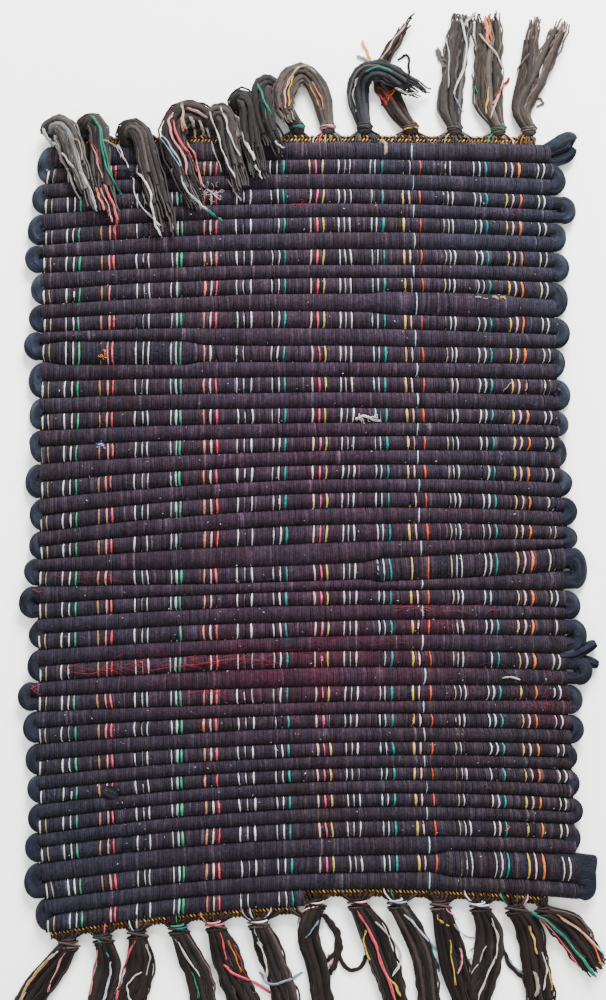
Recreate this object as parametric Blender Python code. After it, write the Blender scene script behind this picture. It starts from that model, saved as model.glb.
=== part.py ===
# Rag doormat, woven across a dark warp, with twined headings and knotted warp tassels.
# Metres, +Z up. +Y runs along the mat to its top end and the floor is at Z = 0.
# The origin lies on the floor face under the middle rib.

import math

import bmesh
import bpy
from mathutils import Matrix, Vector, noise

MM = 0.001
GAP = 0.3 * MM                  # air between neighbouring pieces

# Woven panel
CREST = 9.6 * MM                # top of a rib above the floor
VALLEY = 3.0 * MM               # depth of the groove between ribs, on both faces
COLOURED_SHARE = 0.25           # half a coloured rib, as a share of the pitch of a pair
SHOULDERS = (0.27, 0.73)        # where the crest of a rib starts and ends, across the rib
WANDER = 0.5 * MM               # how far a groove strays from its line
WANDER_LENGTH = 60 * MM
STATIONS = (-166 * MM, 30 * MM, 143 * MM)   # where the ribs' places are given, across the mat
TOP_EDGE = (270 * MM, 272 * MM, 271 * MM)
STEP_X = -5 * MM                # the last rag ends here, so the bottom edge steps
STEP_CLEAR = 2 * MM             # the heading turns the step's corner this far beside it
COLUMNS_X = (-150, -100, -52, -5, 48, 100, 150)
EDGE_COLUMNS = (0, 4, 14)       # columns counted in from each side edge
PINCH = 6 * MM                  # how far the outline draws in between two turns of the rag
TURN_DEPTH = 14 * MM            # how far a turn's round form reaches into the mat
EDGE_HALF = 1.6 * MM            # half the thickness at the outermost line of a turn
UNDERSIDE_SHIFT = 0.45 * MM     # brings the middle rib's crest onto the origin

# One row for each coloured rib: its centre line at the three stations,
# how far the rag's turns stand out at the left and the right side, and how square the right one is.
RIB_COLUMNS = ("left", "middle", "right", "turn_left", "turn_right", "square")
RIBS = (
    (247, 253, 251, 200, 196, 1),
    (224, 230, 227, 203, 203, 1),
    (200, 208, 206, 206, 196, 1),
    (178, 183, 182, 207, 197, 1),
    (154, 161, 159, 202, 195, 1),
    (132, 135, 132, 203, 196, 1),
    (110, 109, 108, 206, 192, 1),
    (83, 86, 85, 202, 196, 1),
    (59, 63, 62, 202, 194, 1),
    (35, 42, 42, 202, 193, 1),
    (10, 21, 20, 203, 195, 1),
    (-14, 0, -1, 199, 198, 1),
    (-36, -24, -23, 199, 198, 1),
    (-57, -52, -46, 202, 205, 1),
    (-79, -71, -71, 205, 199, 1),
    (-101, -93, -92, 198, 203, 1),
    (-124, -115, -116, 198, 206, 1),
    (-146, -140, -139, 204, 199, 1),
    (-168, -159, -159, 200, 199, 1),
    (-190, -179, -179, 198, 194, 1),
    (-210, -197, -197, 196, 195, 1),
    (-230, -215, -216, 195, 197, 1),
    (-250, -235, -235, 197, 195, 1),
    (-275, -259, -260, 197, 205, 3),
    (-298, -282, -286, 189, 190, 1),
)

# Ribs that are thick along part of their length, in millimetres.
# The pick is counted from the top, and a thick rib takes its width from its neighbours.
SLUB_COLUMNS = ("pick", "from_x", "to_x", "wider", "higher")
SLUBS = (
    (11, 55, 155, 4.0, 1.2),
    (14, -186, -80, 5.5, 1.5),
    (28, 48, 200, 5.0, 1.4),
    (48, 95, 205, 6.0, 1.6),
)
SLUB_FADE = 9 * MM

# Cut or folded ends of the rag that stick out: centre line, half width and half thickness
RAG_ENDS = {
    "rag_end_top": {"line": ((176, 262), (188, 268), (197, 274), (204, 269)), "half": 5.2},
    "rag_end_upper_prong": {"line": ((188, -112), (200, -110), (211, -104)), "half": 4.2},
    "rag_end_lower_prong": {"line": ((188, -113), (201, -115), (212, -119)), "half": 4.0},
}
RAG_END_FLATTEN = 0.72
RAG_END_Z = 5 * MM

# Headings
HEADING_WIDTH = 6 * MM
HEADING_HEIGHT = 7 * MM
HEADING_RELIEF = 1.1 * MM
HEADING_STITCH = 8.5 * MM
HEADING_TOP_SPAN = (-186 * MM, 175 * MM)
HEADING_BOTTOM_SPAN = (-178 * MM, 172 * MM)

# Tassels
KNOT_HALF = Vector((6.6, 4.6, 4.9)) * MM
LOCK_SIDES = 3
LOCK_HEIGHT = 2.9 * MM
LOCK_ROOT_WIDTH = 2.5 * MM
LOCK_TIP_SHARE = 0.45           # width at the tip, as a share of the fullest width
LAYER = 3.3 * MM                # height of the upper locks over the lower ones
ROOT_PITCH = 3.0 * MM
ROOT_DROP = 1.8 * MM             # how far under the middle of its knot the lower locks start
LOWER_LANES = (-1.0, 0.0, 1.0)
UPPER_LANES = (-0.5, 0.5)
LENGTH_VARIES = 5 * MM

# Each tassel: where its knot sits along the heading, how wide it spreads, and its route,
# with the height of its lower face at the knot, in millimetres. A folded tassel is turned back
# over the mat, so that this face ends on top. A fork is the route of the upper locks.
TASSELS = {
    "tassel_top_01": {"knot_x": -179, "width": 15, "folded": True, "route": (
        (-184, 290, 3), (-187, 296, 11), (-184, 289, 19), (-177, 271, 19.5), (-169, 246, 17),
        (-161, 221, 16.6))},
    "tassel_top_02": {"knot_x": -156, "width": 13, "folded": True, "route": (
        (-159, 291, 3), (-160, 296, 11), (-158, 289, 19), (-153, 270, 19.5), (-147, 240, 17),
        (-142, 208, 16.6))},
    "tassel_top_03": {"knot_x": -124, "width": 16, "folded": True, "route": (
        (-127, 289, 3), (-128, 294, 11), (-125, 286, 19), (-119, 268, 19.5), (-112, 237, 17),
        (-105, 204, 16.6))},
    "tassel_top_04": {"knot_x": -92, "width": 16, "folded": True, "route": (
        (-95, 294, 3), (-94, 303, 11), (-91, 295, 19), (-86, 276, 20), (-80, 247, 17),
        (-70, 214, 16.6))},
    "tassel_top_05": {"knot_x": -64, "width": 13, "folded": True, "route": (
        (-66, 294, 3), (-67, 303, 11), (-64, 295, 19), (-58, 276, 20), (-53, 254, 17),
        (-49, 228, 16.6))},
    "tassel_top_06": {"knot_x": -35, "width": 12, "folded": True, "route": (
        (-42, 299, 3), (-46, 311, 10), (-46, 304, 18), (-41, 285, 20), (-36, 264, 17),
        (-31, 244, 16.6))},
    "tassel_top_07": {"knot_x": -5, "width": 10, "folded": True, "route": (
        (-13, 303, 1), (-22, 320, 8), (-30, 314, 17), (-30, 294, 19), (-25, 279, 19.5),
        (-19, 268, 16.8))},
    "tassel_top_08": {"knot_x": 18, "width": 13, "route": (
        (22, 300, 0.5), (15, 321, 1.0), (1, 331, 4), (-9, 320, 8.5), (-10, 301, 8.8))},
    "tassel_top_09": {"knot_x": 46, "width": 14, "route": (
        (39, 297, 0.2), (36, 312, 2.5), (45, 325, 8.2), (61, 328, 8.8), (77, 318, 8.2), (91, 307, 4))},
    "tassel_top_10": {"knot_x": 81, "width": 13, "route": (
        (70, 298, 0.2), (61, 314, 0.2), (58, 332, 0.2), (67, 350, 0.2), (81, 367, 0.2))},
    "tassel_top_11": {"knot_x": 114, "width": 15, "route": (
        (108, 302, 0.2), (111, 330, 0.2), (115, 354, 0.2), (118, 374, 0.2))},
    "tassel_top_12": {"knot_x": 147, "width": 15, "route": (
        (137, 305, 0.2), (135, 328, 0.2), (138, 352, 0.2), (139, 374, 0.2))},
    "tassel_top_13": {"knot_x": 170, "width": 12, "route": (
        (164, 299, 0.2), (170, 322, 0.2), (173, 348, 0.2), (176, 374, 0.2)), "fork": (
        (165, 299, 0.2), (178, 324, 1.0), (189, 349, 0.2), (199, 371, 0.2))},
    "tassel_bottom_01": {"knot_x": -165, "width": 16, "route": (
        (-172, -327, 0.2), (-185, -345, 0.2), (-199, -363, 0.2), (-211, -379, 0.2))},
    "tassel_bottom_02": {"knot_x": -141, "width": 14, "route": (
        (-137, -328, 0.2), (-141, -345, 0.2), (-145, -363, 0.2), (-148, -387, 0.2))},
    "tassel_bottom_03": {"knot_x": -117, "width": 15, "route": (
        (-110, -326, 0.2), (-113, -343, 0.2), (-120, -361, 0.2), (-121, -385, 0.2))},
    "tassel_bottom_04": {"knot_x": -88, "width": 15, "route": (
        (-80, -322, 0.2), (-73, -341, 0.2), (-69, -360, 0.2), (-65, -384, 0.2))},
    "tassel_bottom_05": {"knot_x": -62, "width": 15, "route": (
        (-56, -320, 0.2), (-48, -340, 0.2), (-38, -358, 0.2), (-29, -377, 0.2))},
    "tassel_bottom_06": {"knot_x": -32, "width": 13, "route": (
        (-26, -315, 0.2), (-19, -335, 0.2), (-12, -354, 0.2), (-7, -376, 0.2))},
    "tassel_bottom_07": {"knot_x": 8, "width": 13, "route": (
        (3, -307, 0.2), (8, -328, 0.2), (12, -351, 0.2), (14, -372, 0.2))},
    "tassel_bottom_08": {"knot_x": 38, "width": 15, "route": (
        (48, -307, 0.2), (57, -330, 0.2), (63, -351, 0.2), (66, -372, 0.2))},
    "tassel_bottom_09": {"knot_x": 66, "width": 13, "route": (
        (76, -305, 0.2), (84, -324, 0.2), (87, -348, 0.2), (89, -370, 0.2))},
    "tassel_bottom_10": {"knot_x": 96, "width": 13, "route": (
        (101, -309, 0.2), (104, -332, 0.2), (108, -356, 0.2), (111, -374, 0.2))},
    "tassel_bottom_11": {"knot_x": 124, "width": 14, "route": (
        (131, -307, 0.2), (130, -328, 0.2), (127, -351, 0.2), (131, -372, 0.2))},
    "tassel_bottom_12": {"knot_x": 149, "width": 14, "route": (
        (158, -305, 0.2), (158, -328, 0.2), (160, -351, 0.2), (163, -370, 0.2))},
    "tassel_bottom_13": {"knot_x": 170, "width": 15, "route": (
        (184, -302, 0.2), (195, -316, 0.2), (206, -332, 0.2))},
}

COLOURS = {
    "rag_weave": (0.022, 0.024, 0.034),
    "heading_yarn": (0.36, 0.21, 0.035),
    "tassel_yarn": (0.035, 0.029, 0.027),
}


def clear_scene():
    for obj in list(bpy.data.objects):
        bpy.data.objects.remove(obj)


def new_collection(name):
    collection = bpy.data.collections.new(name)
    bpy.context.scene.collection.children.link(collection)
    return collection


def cloth_material(name):
    material = bpy.data.materials.new(name)
    material.use_nodes = True
    shader = material.node_tree.nodes["Principled BSDF"]
    shader.inputs["Base Color"].default_value = (*COLOURS[name], 1.0)
    shader.inputs["Roughness"].default_value = 0.92
    shader.inputs["Metallic"].default_value = 0.0
    return material


def add_object(name, bm, material, collection):
    mesh = bpy.data.meshes.new(name)
    bm.to_mesh(mesh)
    bm.free()
    mesh.materials.append(material)
    obj = bpy.data.objects.new(name, mesh)
    collection.objects.link(obj)
    return obj


def as_cutter(obj):
    obj.hide_render = True
    obj.display_type = "WIRE"


def unite(obj, cutter):
    boolean = obj.modifiers.new("join_" + cutter.name, "BOOLEAN")
    boolean.operation = "UNION"
    boolean.solver = "EXACT"
    boolean.object = cutter


def mix(a, b, share):
    return a + (b - a) * share


def smooth(value, start, end):
    t = min(max((value - start) / (end - start), 0.0), 1.0)
    return t * t * (3.0 - 2.0 * t)


def through_stations(values, x):
    """The parabola through the values at the three stations."""
    total = 0.0
    for i, value in enumerate(values):
        weight = 1.0
        for j, station in enumerate(STATIONS):
            if j != i:
                weight *= (x - station) / (STATIONS[i] - station)
        total += value * weight
    return total


def rib_centre(row, x):
    return through_stations([value * MM for value in RIBS[row][:3]], x)


def slub_share(slub, x):
    start, end = slub["from_x"] * MM, slub["to_x"] * MM
    return smooth(x, start - SLUB_FADE, start + SLUB_FADE) * (
        1.0 - smooth(x, end - SLUB_FADE, end + SLUB_FADE))


def slub_rows():
    return [dict(zip(SLUB_COLUMNS, row)) for row in SLUBS]


def groove_y(groove, x):
    """Height along the mat of one groove; groove 0 is the top edge and the last is the bottom one."""
    if groove == 0:
        y = through_stations(TOP_EDGE, x)
    else:
        row = (groove - 1) // 2
        above, below = max(row - 1, 0), min(row + 1, len(RIBS) - 1)
        pitch = (rib_centre(above, x) - rib_centre(below, x)) / (below - above)
        half = COLOURED_SHARE * pitch
        y = rib_centre(row, x) + (half if groove % 2 else -half)
        wander = noise.noise(Vector((x / WANDER_LENGTH, groove * 3.7, 0.0)))
        y += WANDER * wander
    for slub in slub_rows():
        grow = 0.5 * slub["wider"] * MM * slub_share(slub, x)
        if groove == slub["pick"] - 1:
            y += grow
        elif groove == slub["pick"]:
            y -= grow
    return y


def turn_reach(reaches, squares, place):
    """Half width of the outline at a place counted in turns of the rag down one side."""
    turn = min(max(int(place), 0), len(reaches) - 1)
    across = 2.0 * (place - turn) - 1.0
    neighbour = turn + 1 if across > 0 else turn - 1
    neighbour = min(max(neighbour, 0), len(reaches) - 1)
    pinched = min(reaches[turn], reaches[neighbour]) - PINCH
    power = 2.0 * squares[turn]
    roundness = max(1.0 - abs(across) ** power, 0.0) ** (1.0 / power)
    return mix(pinched, reaches[turn], roundness)


def side_x(side, along):
    """X of the outline beside a place counted in ribs from the top."""
    rows = [dict(zip(RIB_COLUMNS, row)) for row in RIBS]
    if side < 0:
        reaches = [row["turn_left"] * MM for row in rows]
        return -turn_reach(reaches, [1] * len(rows), along / 2)
    reaches = [row["turn_right"] * MM for row in rows]
    squares = [row["square"] for row in rows]
    return turn_reach(reaches, squares, (along - 1) / 2)


def row_places():
    """Places of the panel's rows, counted in ribs: each groove, and the shoulders of each rib."""
    places = []
    for pick in range(2 * len(RIBS)):
        places.append(float(pick))
        places.extend(pick + shoulder for shoulder in SHOULDERS)
    places.append(2.0 * len(RIBS))
    return places


def column_x(column, along):
    inner = len(EDGE_COLUMNS)
    last = 2 * inner + len(COLUMNS_X) - 1
    if column < inner:
        return side_x(-1, along) + EDGE_COLUMNS[column] * MM
    if column > last - inner:
        return side_x(1, along) - EDGE_COLUMNS[last - column] * MM
    return COLUMNS_X[column - inner] * MM


def panel_point(column, along, underside):
    """One point of the woven panel's upper or under face."""
    x = column_x(column, along)
    pick = min(int(along), 2 * len(RIBS) - 1)
    y = mix(groove_y(pick, x), groove_y(pick + 1, x), along - pick)
    y += UNDERSIDE_SHIFT
    side = -1 if x < 0 else 1
    inward = abs(side_x(side, along) - x)
    round_in = min(inward / TURN_DEPTH, 1.0)
    fullness = math.sqrt(max(1.0 - (1.0 - round_in) ** 2, 0.0))
    in_groove = abs(along - round(along)) < 1e-6
    within_turn = in_groove and (round(along) % 2 == (1 if side < 0 else 0))
    groove = VALLEY if in_groove else 0.0
    if within_turn:
        groove *= smooth(inward, 0.0, TURN_DEPTH)
    middle = 0.5 * CREST
    half = mix(EDGE_HALF, middle, fullness) - groove * fullness
    if underside:
        return Vector((x, y, middle - half))
    lift = 0.0
    for slub in slub_rows():
        if not in_groove and pick == slub["pick"] - 1:
            lift += slub["higher"] * MM * slub_share(slub, x)
    return Vector((x, y, middle + half + lift * fullness))


def woven_panel(material, collection):
    places = row_places()
    columns = 2 * len(EDGE_COLUMNS) + len(COLUMNS_X)
    step_column = len(EDGE_COLUMNS) + COLUMNS_X.index(STEP_X / MM)
    bm = bmesh.new()
    bmesh.ops.create_grid(bm, x_segments=columns - 1, y_segments=len(places) - 1, size=0.5)

    def cell(vert):
        column = round((vert.co.x + 0.5) * (columns - 1))
        row = round((0.5 - vert.co.y) * (len(places) - 1))
        return column, row

    last_groove = len(places) - 1 - 3
    beyond = [v for v in bm.verts if cell(v)[0] > step_column and cell(v)[1] > last_groove]
    bmesh.ops.delete(bm, geom=beyond, context="VERTS")
    copied = bmesh.ops.extrude_face_region(bm, geom=bm.faces[:])["geom"]
    lower = {element for element in copied if isinstance(element, bmesh.types.BMVert)}
    spots = {vert: panel_point(cell(vert)[0], places[cell(vert)[1]], vert in lower) for vert in bm.verts}
    for vert, spot in spots.items():
        vert.co = spot
    bmesh.ops.recalc_face_normals(bm, faces=bm.faces[:])
    return add_object("woven_panel", bm, material, collection)


def rag_end(name, line, half, material, cutters):
    """A flattened tube along a rag's loose end, made a mesh so that it can be joined."""
    data = bpy.data.curves.new(name, "CURVE")
    data.dimensions = "3D"
    data.bevel_depth = half * MM
    data.bevel_resolution = 1
    data.use_fill_caps = True
    spline = data.splines.new("POLY")
    spline.points.add(len(line) - 1)
    for point, (x, y) in zip(spline.points, line):
        point.co = (x * MM, y * MM, 0.0, 1.0)
    tube = bpy.data.objects.new(name + "_line", data)
    cutters.objects.link(tube)
    evaluated = tube.evaluated_get(bpy.context.evaluated_depsgraph_get())
    mesh = bpy.data.meshes.new_from_object(evaluated)
    bpy.data.objects.remove(tube)
    bm = bmesh.new()
    bm.from_mesh(mesh)
    bpy.data.meshes.remove(mesh)
    bmesh.ops.remove_doubles(bm, verts=bm.verts[:], dist=0.01 * MM)
    flatten = Matrix.Translation((0, 0, RAG_END_Z)) @ Matrix.Diagonal((1, 1, RAG_END_FLATTEN, 1))
    bmesh.ops.transform(bm, matrix=flatten, verts=bm.verts[:])
    bmesh.ops.recalc_face_normals(bm, faces=bm.faces[:])
    end = add_object(name, bm, material, cutters)
    as_cutter(end)
    return end


def edge_y(end, x):
    """Y of the panel's end edge as built: the top one, or the bottom one on its side of the step."""
    last = 2 * len(RIBS)
    groove = 0 if end > 0 else last if x < STEP_X + STEP_CLEAR else last - 1
    columns = 2 * len(EDGE_COLUMNS) + len(COLUMNS_X)
    corners = [column_x(column, groove) for column in range(columns)]
    for left, right in zip(corners, corners[1:]):
        if left <= x <= right:
            share = (x - left) / (right - left)
            return mix(groove_y(groove, left), groove_y(groove, right), share) + UNDERSIDE_SHIFT
    return groove_y(groove, x) + UNDERSIDE_SHIFT


def heading_places(start, end):
    """Places of a heading's stitches between two ends, at even steps."""
    stitches = round((end - start) / HEADING_STITCH)
    return [mix(start, end, number / stitches) for number in range(stitches + 1)]


def heading(name, end, places, material, collection):
    """A twined strip along one end, its two rows of yarn raised in turn."""
    rows = 2
    bm = bmesh.new()
    bmesh.ops.create_grid(bm, x_segments=len(places) - 1, y_segments=rows, size=0.5)

    def cell(vert):
        return round((vert.co.x + 0.5) * (len(places) - 1)), round((vert.co.y + 0.5) * rows)

    copied = bmesh.ops.extrude_face_region(bm, geom=bm.faces[:])["geom"]
    lower = {element for element in copied if isinstance(element, bmesh.types.BMVert)}
    spots = {}
    for vert in bm.verts:
        column, row = cell(vert)
        x = places[column]
        y = edge_y(end, x) + end * (GAP + HEADING_WIDTH * row / rows)
        relief = HEADING_RELIEF if (column + row) % 2 else -HEADING_RELIEF
        z = 0.0 if vert in lower else HEADING_HEIGHT - HEADING_RELIEF + relief
        spots[vert] = Vector((x, y, z))
    for vert, spot in spots.items():
        vert.co = spot
    bmesh.ops.recalc_face_normals(bm, faces=bm.faces[:])
    return add_object(name, bm, material, collection)


def smooth_route(points, steps):
    """Points at even steps on one smooth curve through the route's own points."""
    spots = []
    for step in range(steps + 1):
        place = step / steps * (len(points) - 1)
        i = min(int(place), len(points) - 2)
        t = place - i
        before, after = points[max(i - 1, 0)], points[min(i + 2, len(points) - 1)]
        a, b = points[i], points[i + 1]
        spots.append(0.5 * (2 * a + (b - before) * t + (2 * before - 5 * a + 4 * b - after) * t * t
                            + (3 * a - before - 3 * b + after) * t * t * t))
    return spots


def lane_frames(spots, folded):
    """Sideways and upward directions along a route. A folded one stays level from side to side."""
    frames = []
    up = Vector((0, 0, 1))
    for i in range(len(spots)):
        ahead = (spots[min(i + 1, len(spots) - 1)] - spots[max(i - 1, 0)]).normalized()
        if folded:
            up = Vector((1, 0, 0)).cross(ahead)
        up = (up - ahead * up.dot(ahead)).normalized()
        sideways = Vector((1, 0, 0)) if folded else ahead.cross(up).normalized()
        frames.append((sideways, up.copy()))
    return frames


def lock(bm, route, lane, layer, width, shorter, folded):
    """One lock: a three-sided section with a level underside, extruded along its lane."""
    steps = len(route) - 1
    spots = smooth_route(route, steps)
    spots[-1] = spots[-1] - (spots[-1] - spots[-2]).normalized() * shorter
    frames = lane_frames(spots, folded)
    fullest = (width * MM) / (len(LOWER_LANES) + 0.25)
    corner = bm.verts.layers.int.get("corner") or bm.verts.layers.int.new("corner")

    def place(ring, step):
        share = step / steps
        belly = smooth(share, 0.0, 0.45)
        tip = mix(1.0, LOCK_TIP_SHARE, smooth(share, 0.55, 1.0))
        pitch = mix(ROOT_PITCH, fullest, belly) * mix(1.0, 0.8, smooth(share, 0.55, 1.0))
        across = mix(LOCK_ROOT_WIDTH, 0.82 * fullest, belly) * tip
        tall = LOCK_HEIGHT * mix(1.0, 0.7, smooth(share, 0.6, 1.0))
        sideways, up = frames[step]
        base = spots[step] + sideways * lane * pitch + up * layer * LAYER
        for vert in ring:
            if vert[corner] == 2:
                vert.co = base + up * tall
            else:
                vert.co = base + sideways * across * (vert[corner] - 0.5)

    ring = bmesh.ops.create_circle(bm, cap_ends=True, segments=LOCK_SIDES, radius=MM)["verts"]
    for number, vert in enumerate(ring):
        vert[corner] = number
    place(ring, 0)
    cap = ring[0].link_faces[0]
    for step in range(1, steps + 1):
        grown = bmesh.ops.extrude_face_region(bm, geom=[cap])["geom"]
        ring = [element for element in grown if isinstance(element, bmesh.types.BMVert)]
        if step > 1:
            bmesh.ops.delete(bm, geom=[cap], context="FACES_ONLY")
        cap = next(element for element in grown if isinstance(element, bmesh.types.BMFace))
        place(ring, step)


def tassel(name, shape, material, collection, cutters):
    """A round knot against the heading, with the locks of its warp ends growing from it."""
    route = shape["route"]
    end = 1 if route[0][1] > 0 else -1
    x = shape["knot_x"] * MM
    knot_y = edge_y(end, x) + end * (2 * GAP + HEADING_WIDTH + KNOT_HALF.y)
    centre = Vector((x, knot_y, KNOT_HALF.z))
    bm = bmesh.new()
    size = Matrix.Translation(centre) @ Matrix.Diagonal((*KNOT_HALF, 1.0))
    bmesh.ops.create_icosphere(bm, subdivisions=1, radius=1.0, matrix=size)
    knot = add_object(name, bm, material, collection)

    root = centre - Vector((0, 0, ROOT_DROP))
    paths = {}
    for layer, points in ((0, route), (1, shape.get("fork", route))):
        paths[layer] = [root] + [Vector(point) * MM for point in points]
    bm = bmesh.new()
    lanes = [(lane, 0) for lane in LOWER_LANES] + [(lane, 1) for lane in UPPER_LANES]
    for lane, layer in lanes:
        uneven = noise.noise(Vector((shape["knot_x"] * 0.37, lane * 2.3, layer * 5.1)))
        shorter = LENGTH_VARIES * (0.5 + uneven)
        lock(bm, paths[layer], lane, layer, shape["width"], shorter, shape.get("folded", False))
    bmesh.ops.recalc_face_normals(bm, faces=bm.faces[:])
    locks = add_object(name + "_locks", bm, material, cutters)
    as_cutter(locks)
    unite(knot, locks)
    return knot


def main():
    clear_scene()
    parts = new_collection("rag_doormat")
    cutters = new_collection("cutters")
    weave = cloth_material("rag_weave")
    gold = cloth_material("heading_yarn")
    dark = cloth_material("tassel_yarn")

    panel = woven_panel(weave, parts)
    for name, shape in RAG_ENDS.items():
        unite(panel, rag_end(name, shape["line"], shape["half"], weave, cutters))

    heading("heading_top", 1, heading_places(*HEADING_TOP_SPAN), gold, parts)
    start, end = HEADING_BOTTOM_SPAN
    beside_step = heading_places(start, STEP_X + GAP) + heading_places(STEP_X + 2 * STEP_CLEAR, end)
    heading("heading_bottom", -1, beside_step, gold, parts)

    for name, shape in TASSELS.items():
        tassel(name, shape, dark, parts, cutters)


main()
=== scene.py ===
import math
import random

import bpy
import numpy as np
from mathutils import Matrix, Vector, noise


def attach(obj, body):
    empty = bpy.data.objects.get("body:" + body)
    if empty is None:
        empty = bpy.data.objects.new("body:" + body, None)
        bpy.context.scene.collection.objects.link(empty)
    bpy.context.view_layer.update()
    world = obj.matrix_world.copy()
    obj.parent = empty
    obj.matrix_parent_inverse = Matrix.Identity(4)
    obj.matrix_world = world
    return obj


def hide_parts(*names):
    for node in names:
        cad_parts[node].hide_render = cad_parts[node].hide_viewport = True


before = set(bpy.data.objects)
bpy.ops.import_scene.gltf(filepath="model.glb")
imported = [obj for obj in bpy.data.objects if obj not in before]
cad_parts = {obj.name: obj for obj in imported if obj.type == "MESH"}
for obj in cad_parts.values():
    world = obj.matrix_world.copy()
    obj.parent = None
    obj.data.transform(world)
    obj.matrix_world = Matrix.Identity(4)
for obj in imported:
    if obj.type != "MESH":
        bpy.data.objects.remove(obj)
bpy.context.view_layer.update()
mm = 0.001      # sizes and places below are in millimetres until they become a mesh

# The weave, with the same ribs, edges and turns as the frame's panel
weave = {
    "midHeight": 4.8,
    "crest": 4.9,               # a crest's face over mid height
    "insideX": 196,             # beyond this a thread lies beside the mat
    "colouredShare": 0.25,      # half a coloured rib, as a share of the pitch of a pair
    "wander": 0.5,
    "wanderLength": 60,
    "stations": (-166, 30, 143),
    "topEdge": (270, 272, 271),
    "stepX": -5,                # the last rag stops here
    "shift": 0.45,
    "slubFade": 9,
    "archPower": 1.8,
}
ribColumns = ("left", "middle", "right", "turnLeft", "turnRight", "square")
ribRows = (
    (247, 253, 251, 200, 196, 1),
    (224, 230, 227, 203, 203, 1),
    (200, 208, 206, 206, 196, 1),
    (178, 183, 182, 207, 197, 1),
    (154, 161, 159, 202, 195, 1),
    (132, 135, 132, 203, 196, 1),
    (110, 109, 108, 206, 192, 1),
    (83, 86, 85, 202, 196, 1),
    (59, 63, 62, 202, 194, 1),
    (35, 42, 42, 202, 193, 1),
    (10, 21, 20, 203, 195, 1),
    (-14, 0, -1, 199, 198, 1),
    (-36, -24, -23, 199, 198, 1),
    (-57, -52, -46, 202, 205, 1),
    (-79, -71, -71, 205, 199, 1),
    (-101, -93, -92, 198, 203, 1),
    (-124, -115, -116, 198, 206, 1),
    (-146, -140, -139, 204, 199, 1),
    (-168, -159, -159, 200, 199, 1),
    (-190, -179, -179, 198, 194, 1),
    (-210, -197, -197, 196, 195, 1),
    (-230, -215, -216, 195, 197, 1),
    (-250, -235, -235, 197, 195, 1),
    (-275, -259, -260, 197, 205, 2),
    (-298, -282, -286, 189, 190, 1),
)
ribs = [dict(zip(ribColumns, row)) for row in ribRows]
picks = 2 * len(ribs)
slubColumns = ("pick", "fromX", "toX", "wider", "higher", "bare")
slubRows = (
    (11, 55, 155, 4.0, 1.2, 0.06),
    (14, -186, -80, 5.5, 1.5, 0.35),
    (28, 48, 200, 5.0, 1.4, 0.12),
    (48, 95, 205, 6.0, 1.6, 0.12),
)
slubs = [dict(zip(slubColumns, row)) for row in slubRows]


def mix(a, b, share):
    return a + (b - a) * share


def clamp(value, low=0.0, high=1.0):
    return min(max(value, low), high)


def smooth(value, start, end):
    t = clamp((value - start) / (end - start))
    return t * t * (3.0 - 2.0 * t)


def drift(*place):
    return noise.noise(Vector(place))


def linear(hexColour):
    values = [int(hexColour[i:i + 2], 16) / 255 for i in (1, 3, 5)]
    return [v / 12.92 if v <= 0.04045 else ((v + 0.055) / 1.055) ** 2.4 for v in values]


def blend(tint, hexColour, share):
    return [mix(a, b, share) for a, b in zip(tint, linear(hexColour))]


def dimmed(tint, light):
    return [c * light for c in tint]


def addObject(name, data):
    item = bpy.data.objects.new(name, data)
    bpy.context.scene.collection.objects.link(item)
    return item


def throughStations(values, x):
    stations = weave["stations"]
    total = 0.0
    for i, value in enumerate(values):
        weight = 1.0
        for j, station in enumerate(stations):
            if j != i:
                weight *= (x - station) / (stations[i] - station)
        total += value * weight
    return total


def ribCentre(row, x):
    rib = ribs[row]
    return throughStations((rib["left"], rib["middle"], rib["right"]), x)


def slubShare(slub, x):
    fade = weave["slubFade"]
    return smooth(x, slub["fromX"] - fade, slub["fromX"] + fade) * (
        1.0 - smooth(x, slub["toX"] - fade, slub["toX"] + fade))


def slubValue(pick, x, column):
    return sum(slub[column] * slubShare(slub, x) for slub in slubs if slub["pick"] == pick)


def grooveY(groove, x):
    if groove == 0:
        y = throughStations(weave["topEdge"], x)
    else:
        row = (groove - 1) // 2
        above, below = max(row - 1, 0), min(row + 1, len(ribs) - 1)
        pitch = (ribCentre(above, x) - ribCentre(below, x)) / (below - above)
        half = weave["colouredShare"] * pitch
        y = ribCentre(row, x) + (half if groove % 2 else -half)
        y += weave["wander"] * drift(x / weave["wanderLength"], groove * 3.7, 0.0)
    y += 0.5 * slubValue(groove + 1, x, "wider") - 0.5 * slubValue(groove, x, "wider")
    return y + weave["shift"]


def lastGroove(x):
    return picks if x <= weave["stepX"] else picks - 1


def arch(share):
    power = weave["archPower"]
    return max(1.0 - abs(2.0 * share - 1.0) ** power, 0.0) ** (1 / power)


def edgeY(end, x):
    return grooveY(0 if end > 0 else lastGroove(x), x)


def matTop(x, y):       # the height of the mat's face, or of the floor beside it
    if abs(x) > weave["insideX"] or y > edgeY(1, x) or y < edgeY(-1, x):
        return 0.0
    low, high = 0, lastGroove(x)
    while high - low > 1:
        middle = (low + high) // 2
        if grooveY(middle, x) > y:
            low = middle
        else:
            high = middle
    upper, lower = grooveY(low, x), grooveY(high, x)
    share = (upper - y) / max(upper - lower, 0.01)
    return weave["midHeight"] + (weave["crest"] + slubValue(high, x, "higher")) * arch(share)


# The camera stands as it did for the photo: above the mat, leaning a little towards the top end
view = {
    "frame": (606, 1000),
    "lookAt": (-0.7, 0.0, 9.0),
    "distance": 1100.0,
    "focal": 1513.0,            # in pixels of the photo
    "tilt": math.radians(7.75),
    "sensorHeight": 24.0,
    "clipStart": 0.01,
}


def cameraSpot():
    lean = Vector((0, -math.sin(view["tilt"]), math.cos(view["tilt"])))
    return Vector(view["lookAt"]) + lean * view["distance"]


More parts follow.
